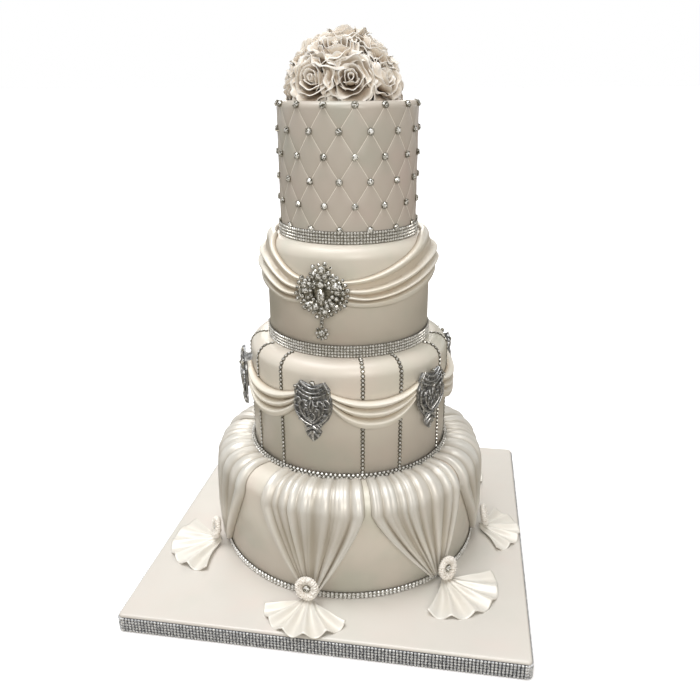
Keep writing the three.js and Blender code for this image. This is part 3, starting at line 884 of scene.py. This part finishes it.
def ruffle_ring(phase, matrix):
    radius, ruffles = ROSETTE["radius"], ROSETTE["ruffles"]

    def place(u, v):
        angle = 2 * pi * u
        across, up = cos(angle), sin(angle)
        spot = v * (len(RUFFLE_SECTION) - 1)
        k = min(int(spot), len(RUFFLE_SECTION) - 2)
        (r0, h0), (r1, h1) = RUFFLE_SECTION[k:k + 2]
        r, h = mix(r0, r1, spot - k), mix(h0, h1, spot - k)
        swerve = 1.4 * noise.noise(Vector((across * 1.7, up * 1.7, phase)))
        ruffle = sin(ruffles * angle + phase + swerve) * smooth(r * 1.4 - 0.2)
        crumb = noise.noise(Vector((across * 8, up * 8, v * 9 + phase)))
        r += 0.025 * ruffle + 0.07 * crumb
        h += 0.05 * sin(ruffles * angle + phase + 1.6) * smooth(r * 1.4 - 0.2) + 0.2 * crumb
        # Painted shade: the mark is lower towards the middle and in the dips of the ruffles and crumbs.
        lit_share = 0.3 + 0.7 * crumb + 0.1 * ruffle + 0.36 * r
        return matrix @ (Vector((r * radius * across, r * radius * up, h * ROSETTE["depth"])) * MM), lit_share

    bm = laid_sheet(260, 24, place, ring=True, mark="crest")
    close_holes(bm)
    bmesh.ops.recalc_face_normals(bm, faces=bm.faces)
    return bm


for k, panel in panels.items():
    matrix = facing(ROSETTE["out"], panel["gather"], ROSETTE["height"], ROSETTE["lean"])
    bm = ruffle_ring(1.3 * k, matrix)
    for face in bm.faces:
        face.material_index = 2
    cut_stone(bm, ROSETTE["stone"], matrix @ moved(0, 0, ROSETTE["seat"]))
    faceted_piece(bm, f"ruffled_rosette_{k}", [SILVER, CRYSTAL, WHITE_PASTE],
                  [f"rosette_{k}"], soft=2)
print("rosettes done,", tally["triangles"], "triangles so far")

# %% [markdown]
# ## Swags and the sash
# Both are strips of paste folded over on themselves. Each fold starts with a rolled upper
# edge that stands proud and catches the light, then slopes back and tucks in behind the next
# roll, where the shadow is. The same profile serves the swags, which sag between two crests, and
# the sash, which climbs from the brooch up over the rim and goes right round. Where the brooch
# pinches the sash, the folds run to other shares of its width.

# %% The tucked profile
def tucked(v, starts, roll, tall=(1, 1, 1, 1), spread_out=1.0):
    """Height from 0 to 1 across folds that begin at the given shares of the width."""
    k = max(i for i, start in enumerate(starts[:-1]) if v >= start or i == 0)
    t = (v - starts[k]) / (starts[k + 1] - starts[k])
    last = k == len(starts) - 2
    rise = mix(0.0 if k == 0 else 0.12, 1, sin(pi / 2 * min(1.0, t / roll)) ** 0.7)
    fall = (t - roll) / (1 - roll) * (spread_out if k == 0 else 1)
    slope = 1 - (0.3 if last else 0.88) * smooth(fall) ** 1.25
    under = 1.0 if not last else cos(pi / 2 * smooth((t - 0.6) / 0.4)) ** 0.6
    return rise * slope * under * tall[k]


# %% Swags
crest_azimuths = [azimuth_of(node_middle(f"crest_{k}")) for k in range(1, 7)]
SWAG = {"hang": 266, "hang_depth": 11, "low": 252.5, "low_depth": 34.5, "stands": 9.4, "roll": 0.24,
        "clear": 3.0}
SWAG_FOLDS = (0.33, 0.64)

for k, start in enumerate(crest_azimuths):
    stop = crest_azimuths[(k + 1) % len(crest_azimuths)]
    stop += 360 if stop < start else 0
    dice = random.Random(20 + k)
    strays = [dice.uniform(-0.03, 0.03) for _ in range(2)]

    def swag_place(u, v):
        sag = 1 - (2 * u - 1) ** 2
        open_up = 1 - (1 - min(1, max(0, (min(u, 1 - u) - 0.06) / 0.44))) ** 2.4
        top = mix(SWAG["hang"], SWAG["low"], sag)
        depth = mix(SWAG["hang_depth"], SWAG["low_depth"], open_up)
        starts = (0.0, SWAG_FOLDS[0] + strays[0] * sag, SWAG_FOLDS[1] + strays[1] * sag, 1.0)
        stands = tucked(v, starts, SWAG["roll"])
        height = 0.5 + SWAG["stands"] * stands * mix(0.6, 1, open_up)
        azimuth = mix(start + SWAG["clear"], stop - SWAG["clear"], u)
        # The fold's height is also the mark for the painted shade in the tucks.
        return second.over(second.reaches(top - depth * v), azimuth, height), stands

    bm = laid_sheet(90, 78, swag_place, mark="crest")
    modelled_piece(bm, f"folded_swag_{k + 1}", SATIN_ICING, f"swag_{k + 1}", 0.4)
print("swags between", [round(a, 1) for a in crest_azimuths])

# %% Sash
third = tiers[2]
SASH = {"gather": -96, "stands": 10.2, "gather_top": 381, "gather_low": 357, "full_low": 367,
        "over_rim": 1.4, "dip": 9, "roll": 0.17, "lit": 0.22}
CLIMB = {"back": (60, 1.8), "on": (92, 1.45)}
SASH_FOLDS = (0.0, 0.37, 0.6, 0.81, 1.0)
SASH_PINCHED = (0.0, 0.3, 0.42, 0.7, 1.0)
SASH_TALL = (0.54, 0.82, 1.0, 0.66)


def sash_place(u, v):
    azimuth = mix(-270, 90, u)
    turn = azimuth - SASH["gather"]
    over, late = CLIMB["back" if turn < 0 else "on"]
    opened = smooth(abs(turn) / over) ** late
    sagged = SASH["dip"] * sin(pi * min(1, abs(turn) / CLIMB["on"][0]))
    top = mix(third.reaches(SASH["gather_top"]), SASH["over_rim"], opened)
    low = mix(SASH["gather_low"], SASH["full_low"], opened) - sagged
    away = smooth(abs(turn) / 30)
    starts = [mix(near, s, away) + 0.03 * away * sin(radians(azimuth) * 2.0 + 2.1 * i)
              for i, (near, s) in enumerate(zip(SASH_PINCHED, SASH_FOLDS))]
    starts[0], starts[-1] = 0.0, 1.0
    stands = tucked(v, starts, SASH["roll"], SASH_TALL, 1.7)
    height = 0.6 + SASH["stands"] * stands * mix(0.6, 1, smooth(abs(turn) / 26))
    # A painted highlight lightens the first fold; the fold's height in the mark gives painted shade in the
    # tucks.
    lit = SASH["lit"] * smooth(v * 12) if v < starts[1] else 0.0
    return third.over(mix(top, third.reaches(low), v), azimuth, height), stands + lit


bm = laid_sheet(360, 96, sash_place, ring=True, mark="crest")
modelled_piece(bm, "gathered_sash", SATIN_ICING, "sash", 0.4)
print("sash done,", tally["triangles"], "triangles so far")

# %% [markdown]
# ## Sugar roses
# A sugar rose is built from the inside out: a coiled bud, then whorls of thin petals, each set
# a little lower and opened wider, with its lip rolled back. One petal is a laid sheet. Its rule
# wraps the sheet part of the way round the flower, lets it swell outward, rolls the lip back and
# waves the edge. Every petal stores how far it reaches, so the finish can paint shade at its
# root. A plain ball of the same paste fills the heap. It takes the dark root colour, painted
# shade, and shows only as that shade between the roses.

# %% Whorls of a rose
PETAL_KEYS = ("petals", "wide", "root", "open", "high", "belly", "curl", "wave", "grid")
WHORLS = [dict(zip(PETAL_KEYS, row)) for row in (
    (2, 150, 0.8, 1.6, 21.5, 0.9, 0.3, 0.3, (22, 10)),
    (3, 84, 1.8, 4.2, 22.4, 1.8, 0.8, 0.6, (22, 12)),
    (3, 88, 2.8, 8.0, 22.4, 2.6, 1.8, 1.0, (24, 13)),
    (3, 84, 3.4, 12.8, 21.6, 3.4, 2.8, 1.9, (28, 14)),
    (4, 68, 3.6, 18.4, 18.6, 2.8, 3.4, 2.5, (28, 15)),
    (4, 58, 3.6, 22.8, 12.8, 1.4, 3.0, 2.3, (26, 14)),
)]
ROSE = {"scale": 1.15, "lip": 0.6, "root": 14.5, "tilt": 0.16, "whorl_turn": 2.4}


# %% One petal
def petal_sheet(bm, dice, whorl, turn):
    wide, r0, r1, high, belly, curl = (whorl[key] for key in PETAL_KEYS[1:7])
    wave, phase = whorl["wave"] * dice.uniform(0.7, 1.3), dice.uniform(*ANY_PHASE)
    high *= dice.uniform(0.93, 1.06)
    curl *= dice.uniform(0.75, 1.25)
    point = dice.uniform(-0.35, 0.35)
    lean = dice.uniform(-0.07, 0.07)
    lobes, dent = dice.uniform(3.2, 5.0), dice.uniform(0.0, 0.09)
    columns, rows = whorl["grid"]
    lay = min(1.0, r1 / 24)

    def place(u, v):
        side = 2 * u - 1
        v = 1 - (1 - v) ** 1.5
        outline = 1 - 0.52 * abs(side - point * 0.25) ** 2.6 - dent * cos(lobes * side + phase) * v
        s = v * outline
        spread = wide * (0.42 + 0.58 * sin(pi / 2 * min(1, v * 1.25))) * side
        swell = sin(pi / 2 * min(1, s)) ** 0.9
        r = mix(r0, r1, swell) + belly * sin(pi * s) + lean * side * r1
        h = high * (s - 0.12 * s * s)
        lip = max(0.0, (v - 0.5) / 0.5)
        roll = curl * (0.8 + 0.3 * abs(side)) * lip * lip
        r += roll
        h -= roll * 0.62 * lip
        bent = 2.5 * max(0.0, (v - 0.87) / 0.13)
        r += ROSE["lip"] * mix(1 - cos(bent), sin(bent), lay)
        h += ROSE["lip"] * mix(sin(bent), cos(bent) - 1, lay)
        edge = wave * v ** 3
        r += edge * (sin(lobes * side + phase) + 0.45 * sin(2.7 * lobes * side + 2 * phase))
        h += edge * (0.7 * sin(1.3 * lobes * side + phase * 1.7)
                     + 0.5 * sin(3.1 * lobes * side + phase))
        angle = turn + radians(spread)
        return Vector((r * cos(angle), r * sin(angle), h)) * (ROSE["scale"] * MM), v

    add_into(bm, laid_sheet(columns, rows, place, mark="reach"))

# %% Ball under the roses
# The ball sits low on the petal ramp, so it takes the dark root colour as painted shade.
BALL_PAINTED_SHADE = 0.12
HEAP_CENTRE_Z = 565.0
dome_low, dome_high = box_mm("rose_dome")


def ball(u, v):
    away, angle = sin(pi * v), 2 * pi * u
    return Vector((away * cos(angle), away * sin(angle), cos(pi * v))), BALL_PAINTED_SHADE


bm = laid_sheet(72, 40, ball, ring=True, mark="reach")
bmesh.ops.remove_doubles(bm, verts=bm.verts, dist=1e-5)
for corner in bm.verts:
    rough = 1 + 0.02 * noise.noise(corner.co * 3)
    spot = [mix(dome_low[i], dome_high[i], 0.5 + 0.49 * rough * corner.co[i]) for i in range(3)]
    corner.co = Vector(spot) * MM
finish_piece(bm, "rose_ball", [ROSE_PASTE], ["rose_dome"])
heap = Vector(((dome_low[0] + dome_high[0]) / 2, (dome_low[1] + dome_high[1]) / 2, HEAP_CENTRE_Z))


# %% Roses over the ball
def rose(seed):
    bm = bmesh.new()
    dice = random.Random(seed)
    turn = dice.uniform(*ANY_PHASE)
    for whorl in WHORLS:
        for k in range(whorl["petals"]):
            step = 2 * pi / whorl["petals"]
            petal_sheet(bm, dice, whorl, turn + k * step + dice.uniform(-0.16, 0.16))
        turn += ROSE["whorl_turn"]
    return bm


for k in range(1, 14):
    middle = node_middle(f"rose_{k}")
    axis = (middle - heap).normalized()
    bm = rose(300 + k)
    dice = random.Random(500 + k)
    aside = Vector((dice.uniform(-1, 1), dice.uniform(-1, 1), dice.uniform(-0.3, 1)))
    tilted = (axis + ROSE["tilt"] * aside).normalized()
    turn = tilted.to_track_quat("Z", "Y").to_matrix().to_4x4()
    base = (middle - axis * ROSE["root"]) * MM
    bmesh.ops.transform(bm, matrix=Matrix.Translation(base) @ turn, verts=bm.verts)
    flower = finish_piece(bm, f"sugar_rose_{k}", [ROSE_PASTE], [f"rose_{k}"], turn_out=False)
    give_thickness(flower, 0.5, 0.0)
print("roses done,", tally["triangles"], "triangles so far")

# %% [markdown]
# ## Cast crests
# A crest hides each place where two swags meet. The real ones are pressed from silver paste in
# a lace mould: a pointed shield with rolled scrolls, crossing ribs and a small leaf below, with
# a few stones set in. The shield is a flat outline pulled out into a plate and softened by a
# bevel. The scrolls are curves with a round section, which taper towards their ends. The crest
# is made once and copied to its six places. Its scrolls and grains take a brighter metal than
# its ground, a painted highlight.

# %% Scrolls from curves
def scrolls(bm, paths, matrix, slot):
    """Each path is (radius, points); the rope thins out towards its last point."""
    curve = bpy.data.curves.new("scrolls", "CURVE")
    curve.dimensions = "3D"
    curve.bevel_depth = MM
    curve.bevel_resolution = 1
    curve.use_fill_caps = True
    curve.resolution_u = 5
    for radius, points in paths:
        line = curve.splines.new("NURBS")
        line.points.add(len(points) - 1)
        line.order_u, line.use_endpoint_u = 3, True
        for k, (spot, (x, y, z)) in enumerate(zip(line.points, points)):
            spot.co = (x * MM, y * MM, z * MM, 1)
            spot.radius = radius * mix(1.0, 0.55, k / (len(points) - 1))
    rope = bpy.data.objects.new("scrolls", curve)
    mesh = bpy.data.meshes.new_from_object(rope)
    mesh.transform(matrix)
    before = len(bm.faces)
    bm.from_mesh(mesh)
    bm.faces.ensure_lookup_table()
    for face in bm.faces[before:]:
        face.material_index = slot
    bpy.data.objects.remove(rope)
    bpy.data.curves.remove(curve)
    bpy.data.meshes.remove(mesh)


def upright(radius, azimuth, z):
    """Stands a piece drawn in X and Y upright, looking outward."""
    return Matrix.Translation(polar(radius, azimuth, z)) @ turned(azimuth + 90) @ turned(90, "X")


def plate(bm, outline, thickness):
    """A flat outline pulled out into a plate."""
    flat = bm.faces.new([bm.verts.new(Vector((x, y, 0)) * MM) for x, y in outline])
    pulled = bmesh.ops.extrude_face_region(bm, geom=[flat])
    raised = [e for e in pulled["geom"] if isinstance(e, bmesh.types.BMVert)]
    bmesh.ops.translate(bm, vec=(0, 0, thickness * MM), verts=raised)


def both_sides(paths):
    return paths + [(radius, [(-x, y, z) for x, y, z in points]) for radius, points in paths]

# %% The shield and its ribs
CREST = {"half": 22.5, "tall": 77, "plate": 3.2, "soft_edge": 1.4, "out": 126.4, "below": 1.5, "grains": 36}
SHIELD = ((0, 0.0), (0.2, 0.05), (0.34, 0.1), (0.44, 0.165), (0.34, 0.215), (0.5, 0.28), (0.78, 0.37),
          (0.93, 0.47), (0.98, 0.58), (0.96, 0.7), (0.82, 0.77), (0.9, 0.83), (0.76, 0.89), (0.62, 0.945),
          (0.4, 0.92), (0.2, 0.895), (0, 0.885))
CREST_SCROLLS = both_sides([
    (1.3, [(1, 21, 4), (9, 24.5, 5), (16, 31, 5.5), (20.5, 40, 5.5), (20.5, 51, 5), (15, 55, 5),
           (12.5, 50, 5.5), (16, 47, 6)]),
    (1.2, [(18, 54, 4.5), (20.5, 62, 5), (16, 69, 5), (13, 74, 4.5)]),
    (1.15, [(0.5, 24, 4.5), (7, 30, 6), (12.5, 37, 6.8), (14.5, 46, 6.8), (11, 53, 6.5), (5, 51, 6.5)]),
    (1.0, [(7.5, 33, 6), (9.5, 38, 7), (8, 43, 7.4), (4.5, 43, 7.4), (4.5, 39.5, 7.6), (6.6, 40, 7.4)]),
    (1.0, [(6, 51, 6), (8, 48, 7), (6, 45.5, 7.6), (3, 47, 7.6)]),
    (0.95, [(0.6, 52, 6), (2.6, 47, 7.4), (1.8, 42, 7.8), (0.4, 39, 7.8)]),
    (0.9, [(0.6, 27, 5), (4, 31.5, 6.6), (3.4, 36, 7.2), (1, 37, 7.4)]),
    (0.8, [(19, 36, 4.5), (14.5, 34, 5.5), (11, 36, 6.4)]),
    (0.8, [(20.5, 45, 4.5), (17, 42, 5.5), (14.5, 44, 6.4)]),
    (2.3, [(0.5, 20, 4), (5, 17.5, 4.6), (8.5, 13.5, 3.6)]),
    (2.1, [(0.5, 14, 4.2), (4, 11.5, 4.6), (6.5, 7.5, 3.4)]),
    (0.9, [(5, 22, 4), (9, 20.5, 4.4), (9.6, 16.5, 4)]),
]) + [
    (1.4, [(-13, 72, 4), (-8, 68, 5.5), (0, 65, 6), (8, 67.5, 5.5), (13.5, 72, 4)]),
    (1.2, [(-17.5, 69, 4), (-10, 62, 6), (0, 59.5, 6.5), (10, 62.5, 6), (17.5, 69, 4)]),
    (1.0, [(-17, 62, 5), (-9, 57, 6.2), (0, 55.5, 6.6), (9, 57, 6.2), (17, 62, 5)]),
    (2.2, [(0, 16, 5), (0, 8, 5), (0, 1.5, 3)]),
]
CREST_STONES = ((0.5, 71.6, 2.6, 3.0), (-19, 66.5, 4, 2.2), (19.5, 62, 4, 2.7), (-1, 55.5, 6.6, 2.2),
                (-20, 47, 4.5, 1.4), (-19.5, 38, 4.5, 1.4), (-14.5, 27.5, 4.5, 1.5), (10, 23.5, 4.5, 1.5),
                (6, 18.5, 5, 1.4), (7.5, 12, 4.5, 1.4))

# %% Crests
bm = bmesh.new()
outline = [(x * CREST["half"], y * CREST["tall"]) for x, y in SHIELD]
plate(bm, outline + [(-x, y) for x, y in outline[-2:0:-1]], CREST["plate"])
round_edges(bm, rim_edges(bm, CREST["plate"]), CREST["soft_edge"], 3)
bmesh.ops.recalc_face_normals(bm, faces=bm.faces)
cone(bm, 12, 13, 8, 32, moved(0, 46, -7.5) @ Matrix.Diagonal((1, 1.7, 1, 1)))
# Finish 1 on the scrolls and grains is the painted highlight.
scrolls(bm, CREST_SCROLLS, Matrix(), 1)
dice = random.Random(5)
for _ in range(CREST["grains"]):
    x, y = dice.uniform(-18, 18), dice.uniform(22, 68)
    if abs(x) < 18 * min(1, (y - 12) / 24):
        cone(bm, 1.0, 0.35, 2.2, 6, moved(x, y, CREST["plate"]), slot=1)
for x, y, z, radius in CREST_STONES:
    first_face = len(bm.faces)
    cut_stone(bm, radius, moved(x, y, z))
    bm.faces.ensure_lookup_table()
    # The slice follows the order of storage, so it misses some new faces and takes some twice.
    for face in bm.faces[first_face:]:
        face.material_index += 2
crest_master = mesh_of(bm, "crest")

for k, azimuth in enumerate(crest_azimuths, 1):
    foot = box_mm(f"crest_{k}")[0][2]
    bm = bmesh.new()
    bm.from_mesh(crest_master)
    bmesh.ops.transform(bm, matrix=upright(CREST["out"], azimuth, foot - CREST["below"]), verts=bm.verts)
    faceted_piece(bm, f"cast_crest_{k}", [CREST_METAL, CREST_PAINTED_HIGHLIGHT, SILVER, CRYSTAL],
                  [f"crest_{k}"], soft=1)
print("six crests of", len(crest_master.polygons), "faces")

# %% [markdown]
# ## Brooch and pendant
# The brooch that gathers the sash is a cluster of foil-backed stones. A long oval stone sits in
# the middle, with rings of round stones and leaf-shaped stones about it, each tipped a little
# its own way. The same cut stone as on the quilt is stretched into ovals and leaves. The drop
# below hangs from two small wire links and is a flower of stones.

# %% Brooch
low, high = box_mm("brooch")
brooch_at = upright(third.radius + 7.2, SASH["gather"], (low[2] + high[2]) / 2)
dice = random.Random(11)


def set_stone(bm, x, y, z, radius, tip, stretch=(1, 1), turn=0.0):
    tips = turned(dice.uniform(-tip, tip), "X") @ turned(dice.uniform(-tip, tip), "Y")
    cut_stone(bm, radius, brooch_at @ moved(x, y, z) @ turned(turn) @ tips, stretch)


BROOCH_OUTLINE = ((0, 32.5), (17, 29.5), (36, 21.5), (58, 27.5), (85, 29), (115, 27.5), (148, 25),
                  (180, 28.5))
PLATE_SHARE = 0.88
BROOCH_FOCUS = ((0, 24, 4.6), (-7.5, 20, 3.0), (7.5, 21, 3.0), (-19, 8, 4.0), (19.5, 6.5, 4.0),
                (16, -14, 4.2), (-15, -14, 3.8), (4, -21, 3.8))


def brooch_reach(angle):
    """How far the brooch reaches at an angle from its top, the same on both sides."""
    angle = abs((angle + 180) % 360 - 180)
    k = max(i for i, (a, _) in enumerate(BROOCH_OUTLINE[:-1]) if angle >= a)
    (a0, r0), (a1, r1) = BROOCH_OUTLINE[k:k + 2]
    return mix(r0, r1, smooth((angle - a0) / (a1 - a0)))


def on_brooch(angle, reach):
    return reach * sin(radians(angle)), reach * cos(radians(angle)) - 1


def ring_of_stones(bm, count, share, height, radii, tip, first=0.0, stretch=(1, 1)):
    for k in range(count):
        angle = 360 * (k + first) / count
        x, y = on_brooch(angle, share * brooch_reach(angle) + dice.uniform(-0.5, 0.5))
        set_stone(bm, x, y, height, radii[k % len(radii)], tip, stretch, 90 - angle)


bm = bmesh.new()
plate(bm, [on_brooch(a, brooch_reach(a) * PLATE_SHARE) for a in range(360, 0, -10)], 2.4)
bmesh.ops.transform(bm, matrix=brooch_at, verts=bm.verts)
cone(bm, 15, 9, 2.2, 32, brooch_at @ Matrix.Diagonal((0.9, 1.2, 1, 1)), 2.0)
set_stone(bm, 0, -3.5, 6.0, 5.4, 2, stretch=(0.9, 2.0))
set_stone(bm, -0.5, 9.0, 5.2, 4.4, 8)
ring_of_stones(bm, 14, 0.42, 4.6, (2.6, 2.2), 14)
ring_of_stones(bm, 15, 0.62, 3.8, (3.8, 2.8, 4.1), 18, 0.5, (1.15, 0.9))
ring_of_stones(bm, 25, 0.81, 3.0, (3.0, 2.2, 2.7), 20)
ring_of_stones(bm, 29, 0.98, 2.2, (2.8, 1.9, 2.4), 22, 0.5)
for x, y, radius in BROOCH_FOCUS:
    set_stone(bm, x, y, 4.4, radius, 16)
brooch = faceted_piece(bm, "jewelled_brooch", [SILVER, CRYSTAL], ["brooch"])
print("brooch", len(brooch.data.polygons), "faces")

# %% Pendant
DROP_STONES = ((0, -1.6, 2.2), (0, -5.8, 2.4), (0, -10.2, 2.2), (0, -17.6, 4.6), (-4.6, -14.0, 2.2),
               (4.6, -14.0, 2.2), (-6.0, -18.4, 2.2), (6.0, -18.4, 2.2), (-4.0, -22.4, 2.3),
               (4.0, -22.4, 2.3), (0, -24.4, 2.3))
low, high = box_mm("pendant")
hang = upright(third.radius + 3.2, SASH["gather"] - 1.6, high[2])
bm = bmesh.new()
scrolls(bm, [(0.5, [(0, 0, 1), (1.6, -1.8, 1), (0, -3.6, 1), (-1.6, -1.8, 1), (0, 0, 1)]),
             (0.45, [(0, -7, 1), (1.3, -8.6, 1), (0, -10.2, 1), (-1.3, -8.6, 1), (0, -7, 1)])], hang, 0)
for x, y, radius in DROP_STONES:
    cut_stone(bm, radius, hang @ moved(x, y, 0.4))
faceted_piece(bm, "pendant_drop", [SILVER, CRYSTAL], ["pendant"])
print("pendant from", round(high[2], 1), "to", round(low[2], 1))

# %% [markdown]
# ## Light and camera
# The cake stands on a plain white floor under a very large soft light from above, so the tops
# and the upper side of each fold are bright and the upright sides fall to a quiet beige. A weak
# warm lamp in front and another behind keep the valleys of the folds from going grey. The
# surroundings have one bright belt, for the metal and the pearl dust to catch.

# %% Camera
CAMERA_PLACE = Vector((0.1329, -0.8059, 0.5789))
CAMERA_TURN, CAMERA_DROP, CAMERA_ROLL = 9.27, 20.93, -0.25
camera = bpy.data.objects.new("camera", bpy.data.cameras.new("camera"))
camera.data.lens = 36.19
camera.data.sensor_width = 36
camera.matrix_world = (Matrix.Translation(CAMERA_PLACE) @ turned(CAMERA_TURN)
                       @ turned(90 - CAMERA_DROP, "X") @ turned(CAMERA_ROLL))
scene.collection.objects.link(camera)
scene.camera = camera
scene.view_settings.view_transform = "Standard"
print("camera at", tuple(round(v, 3) for v in CAMERA_PLACE))

# %% Floor and light
bm = bmesh.new()
bmesh.ops.create_grid(bm, x_segments=1, y_segments=1, size=60)
floor = bpy.data.objects.new("floor", mesh_of(bm, "floor"))
scene.collection.objects.link(floor)
floor.data.materials.append(Recipe("floor_white").shade({
    "Base Color": (0.93, 0.93, 0.945), "Roughness": 0.9, "Specular IOR Level": 0.1,
    "Emission Color": WHITE, "Emission Strength": 0.24}))
floor.visible_diffuse = False
floor.visible_glossy = False


def lamp(name, kind, power, colour, place, aim_z, **settings):
    data = bpy.data.lights.new(name, kind)
    data.energy, data.color = power, colour
    for key, value in settings.items():
        setattr(data, key, value)
    turn = (Vector((0, 0, aim_z)) - Vector(place)).to_track_quat("-Z", "Y").to_matrix().to_4x4()
    made = bpy.data.objects.new(name, data)
    made.matrix_world = Matrix.Translation(place) @ turn
    scene.collection.objects.link(made)


lamp("overhead", "SUN", 2.6, (0.98, 0.99, 1.0), (-0.32, -0.12, 2.0), 0.2, angle=radians(46))
lamp("front_fill", "AREA", 24, (1.0, 0.955, 0.89), (0.75, -2.2, 1.5), 0.3, shape="DISK", size=1.1)
lamp("back_fill", "AREA", 16, (1.0, 0.96, 0.9), (-0.5, 2.3, 1.3), 0.3, shape="DISK", size=1.4)

# %% Surroundings
SKY = ((0.0, (0.31, 0.28, 0.225)), (0.47, (0.31, 0.28, 0.225)), (0.485, WHITE), (0.56, WHITE),
       (0.59, (0.15, 0.14, 0.115)), (1.0, (0.3, 0.3, 0.3)))
scene.world = bpy.data.worlds.new("world")
sky = Recipe("sky", scene.world)
axes = sky.node("ShaderNodeSeparateXYZ", None, {0: sky.looked.out("Generated")})
rise = sky.node("ShaderNodeMapRange", None, {0: axes.out("Z"), 1: -1, 2: 1}).out(0)
background = sky.node("ShaderNodeBackground", None, {"Color": sky.ramp(rise, *SKY)}).out(0)
sky.node("ShaderNodeOutputWorld", None, {0: background})
print(tally["pieces"], "pieces,", tally["triangles"], "triangles")
